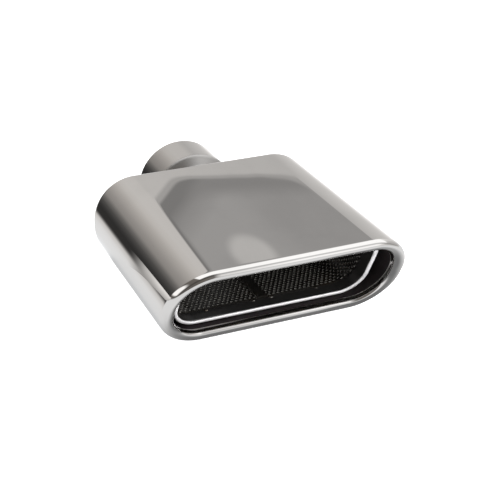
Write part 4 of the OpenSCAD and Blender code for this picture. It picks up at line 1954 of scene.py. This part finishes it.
    def surroundings(self) -> None:
        """Wires the world: strips round the tip, a grey panel overhead, and plain white to the eye."""
        front_edge, plain = (0.765, 0.70), (1.0, 1.0, 1.0)
        world = bpy.data.worlds.new("studio_surroundings")
        bpy.context.scene.world = world
        world.use_nodes = True
        world.node_tree.nodes.clear()
        wires = Wires(world.node_tree)
        toward = wires.split(wires.add("ShaderNodeTexCoord").outputs["Generated"])
        x, y, z = toward
        turn = wires.maths("MULTIPLY_ADD", wires.maths("ARCTAN2", x, z), 1 / (2 * math.pi), 0.5)
        stops = tuple((0.5 + strip.clock / 360, strip.colour(self.mirror)) for strip in self.strips)
        seen = self.with_panel(wires, wires.ramp(turn, stops), toward)
        seen = wires.mix(wires.between(y, *front_edge), seen, self.before_the_mouth(wires, toward))
        rays = wires.add("ShaderNodeLightPath")
        back, out = wires.add("ShaderNodeBackground"), wires.add("ShaderNodeOutputWorld")
        wires.feed(back.inputs["Color"], wires.mix(rays.outputs["Is Glossy Ray"], plain, seen))
        wires.feed(out.inputs["Surface"], back.outputs[0])

    @staticmethod
    def on_ceiling(wires: Wires, toward: tuple) -> tuple[object, object]:
        """Returns where a direction meets the ceiling, across the mouth and along the neck."""
        lowest, (x, y, z) = 0.02, toward
        height = wires.maths("MAXIMUM", z, lowest)
        return wires.maths("DIVIDE", x, height), wires.maths("DIVIDE", y, height)

    def before_the_mouth(self, wires: Wires, toward: tuple) -> bpy.types.NodeSocket:
        """Returns what the lip and the bead mirror: a softbox, a window, the room and the floor."""
        gap_rise, gap_fall, low_rise, low_fall = (-0.3, -0.1), (0.36, 0.24), (0.1, 0.25), (0.75, 0.6)
        box_along, box_rise, box_fall = (0.22, 0.38), (-0.5, -0.4), (1.7, 1.3)
        window_rise, window_fall = (0.02, 0.12), (0.66, 0.44)
        window_x, window_y = (-0.58, -0.68), (0.12, 0.36)
        low_z, floor_z, dimmed = (0.5, 0.0), (-0.02, -0.14), (0.6, 0.6, 0.6)
        (x, y, z), (across, along) = toward, self.on_ceiling(wires, toward)
        stops = tuple((0.5 + strip.clock / 2, strip.colour(self.mirror)) for strip in self.ahead)
        ahead = wires.ramp(wires.maths("MULTIPLY_ADD", x, 0.5, 0.5), stops)
        darker = wires.stretch(ahead, dimmed)
        low = wires.product(wires.between(z, *low_z), wires.within(x, low_rise, low_fall))
        room = wires.mix(wires.within(along, gap_rise, gap_fall), ahead, darker)
        room = wires.mix(low, room, darker)
        softbox = wires.product(wires.between(along, *box_along), wires.within(across, box_rise, box_fall))
        room = wires.mix(softbox, room, self.mirrored(self.softbox_level))
        window = wires.product(wires.within(z, window_rise, window_fall),
                               wires.between(x, *window_x), wires.between(y, *window_y))
        room = wires.mix(window, room, self.mirrored(self.window_level, 0.01))
        return wires.mix(wires.between(z, *floor_z), room, self.mirrored(self.floor_level, -0.01))

    def with_panel(self, wires: Wires, seen: object, toward: tuple) -> bpy.types.NodeSocket:
        """Lays a grey, round-cornered panel with a thin rim on a ceiling far above the tip.

        Args:
            wires: The world's wires.
            seen: What is seen beside the panel.
            toward: The x, y and z of the direction.

        Returns:
            The colour with the panel in it.
        """
        corners = ((-0.37, 0.68), (0.80, 2.243), (1.043, 2.16), (1.12, 0.68))
        rear_round, right_round, tint, top_share, rim_share = 0.05, 0.12, 0.015, 0.55, 0.6
        edge_band, front_band = (0.035, 0.07), (0.07, 0.125)
        border_band, rear_band = (0.02, 0.06), (0.03, 0.13)
        right_band, right_share, rim_band, panel_band = (0.84, 0.94), 0.5, (-0.026, -0.012), (-0.006, 0.006)
        across, along = self.on_ceiling(wires, toward)
        sides = []
        for (x0, y0), (x1, y1) in zip(corners, corners[1:]):
            run = math.hypot(x1 - x0, y1 - y0)
            nx, ny = (y1 - y0) / run, -(x1 - x0) / run
            part = wires.maths("MULTIPLY_ADD", across, nx, -nx * x0 - ny * y0)
            sides.append(wires.maths("MULTIPLY_ADD", along, ny, part))
        far = wires.maths("SMOOTH_MIN", sides[0], sides[1], rear_round)
        inside = wires.maths("SMOOTH_MIN", far, sides[2], right_round)
        edge, middle, front = (self.mirrored(level, tint) for level in self.panel_levels)
        top = wires.mix(top_share, edge, middle)
        grey = wires.mix(wires.between(sides[0], *edge_band, soft=False), edge, middle)
        grey = wires.mix(wires.between(sides[0], *front_band, soft=False), grey, front)
        grey = wires.mix(wires.product(wires.between(across, *right_band), right_share), grey, middle)
        border = wires.mix(wires.between(sides[0], *border_band), edge, top)
        grey = wires.mix(wires.between(sides[1], *rear_band), border, grey)
        grey = self.with_soft_patch(wires, grey, (across, along))
        seen = wires.mix(wires.product(wires.between(inside, *rim_band), rim_share), seen, middle)
        return wires.mix(wires.between(inside, *panel_band), seen, grey)

    def with_soft_patch(self, wires: Wires, grey: object, place: tuple) -> bpy.types.NodeSocket:
        """Returns the panel's colour at a place, with one soft pale patch as from a lamp behind it."""
        (mid_x, mid_y), (half_x, half_y), lean = (0.806, 1.835), (0.047, 0.1), 0.12
        fade, tint, (across, along) = (1.12, 0.62), 0.02, place
        up = wires.maths("DIVIDE", wires.maths("SUBTRACT", along, mid_y), half_y)
        right = wires.maths("DIVIDE", wires.maths("SUBTRACT", across, mid_x), half_x)
        out = wires.length(wires.maths("MULTIPLY_ADD", up, -lean, right), up)
        return wires.mix(wires.between(out, *fade), grey, self.mirrored(self.patch_level, tint))

    @staticmethod
    def camera() -> None:
        """Places the camera at the photograph's viewing angle."""
        azimuth, elevation, distance = math.radians(-23.01), math.radians(26.047), 727.1
        focal_px, frame_px, sensor = 1152.07, 500.0, 36.0
        target, seen_at = Vector((0.0, -112.54, 0.0)), (241.325, 244.425)
        back = Vector((math.sin(azimuth) * math.cos(elevation), -math.cos(azimuth) * math.cos(elevation),
                       math.sin(elevation)))
        data = bpy.data.cameras.new("photo_camera")
        data.sensor_width, data.lens = sensor, focal_px / frame_px * sensor
        data.shift_x = (frame_px / 2 - seen_at[0]) / frame_px
        data.shift_y = (seen_at[1] - frame_px / 2) / frame_px
        data.clip_start, data.clip_end = 0.01, 50.0
        camera = linked("photo_camera", data)
        camera.location = (target + back * distance) * MM
        camera.rotation_euler = (-back).to_track_quat("-Z", "Y").to_euler()
        bpy.context.scene.camera = camera


def tack_rows(sizes: TipSizes) -> tuple[tuple[Triple, ...], tuple[Triple, ...]]:
    """Works out where the tack welds sit.

    Args:
        sizes: The shared sizes.

    Returns:
        The spots along the core's front edge, and those along the collar's flange.
    """
    end_gap, inner, over_edge, before_flange = 10.0, 6.0, 0.9, 0.6
    outer = sizes.bead.half_w - sizes.bead.bend_r - end_gap

    def row(places: tuple[float, ...], depth: float, height: float) -> list[Triple]:
        """Returns the spots of a row on the plane at a depth, at a height."""
        return [(x, float(sizes.cut.y_at(depth, height)), height) for x in places]

    core, collar = [], []
    for side in (-1, 1):
        core += row((-outer, -inner, inner, outer), sizes.core_depth - over_edge,
                    side * (sizes.bead.half_h - sizes.sleeve_in))
        collar += row((-outer, 0.0, outer), sizes.flange_depth - sizes.collar_t - before_flange,
                      side * sizes.flange.half_h)
    return tuple(core), tuple(collar)


def main() -> None:
    """Builds the tip round the frame, then the studio."""
    logging.basicConfig(level=logging.INFO, format="%(message)s")
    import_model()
    sizes = TipSizes.from_frame()
    mirror = MirrorStainless("mirror_polish", (0.80, 0.785, 0.77), 1.0, 0.012)
    bell_end = sizes.cap_back + (InletNeck.root_len + InletNeck.bell_len)
    neck = NeckStainless("tinted_polish", (0.73, 0.715, 0.7), 1.0, 0.015,
                         weld_y=sizes.cap_back + NeckWeld.leg, bell_end=bell_end)
    # The collar's pale colour is the painted highlight on the bead's crest.
    collar = CollarStainless("beaded_polish", (0.93, 0.92, 0.93), 1.0, 0.3)
    # The core's near-black colour is painted shade of the mouth's inside.
    core = PerforatedSteel("punched_steel", (0.019, 0.0175, 0.0155), 0.6, 0.36)
    packing = FibreMat("mineral_fibre", (0.3, 0.24, 0.17), 0.0, 0.9)
    weld = WeldMetal("rippled_weld", (0.55, 0.53, 0.5), 1.0, 0.24)
    core_spots, collar_spots = tack_rows(sizes)
    pieces = (
        RolledBody(sizes, mirror), RearCover(sizes, mirror), InletNeck(sizes, neck), NeckWeld(sizes, weld),
        FrontCollar(sizes, collar), PerforatedCore(sizes, core), RearCollar(sizes, collar),
        PackingWrap(sizes, packing), TackWelds(sizes, weld, "liner_tacks", "core_tacks", spots=core_spots),
        TackWelds(sizes, weld, "flange_tacks", "collar_tacks", spots=collar_spots),
    )
    for piece in pieces:
        piece.build()
    Studio().build()


if __name__ == "__main__":
    main()
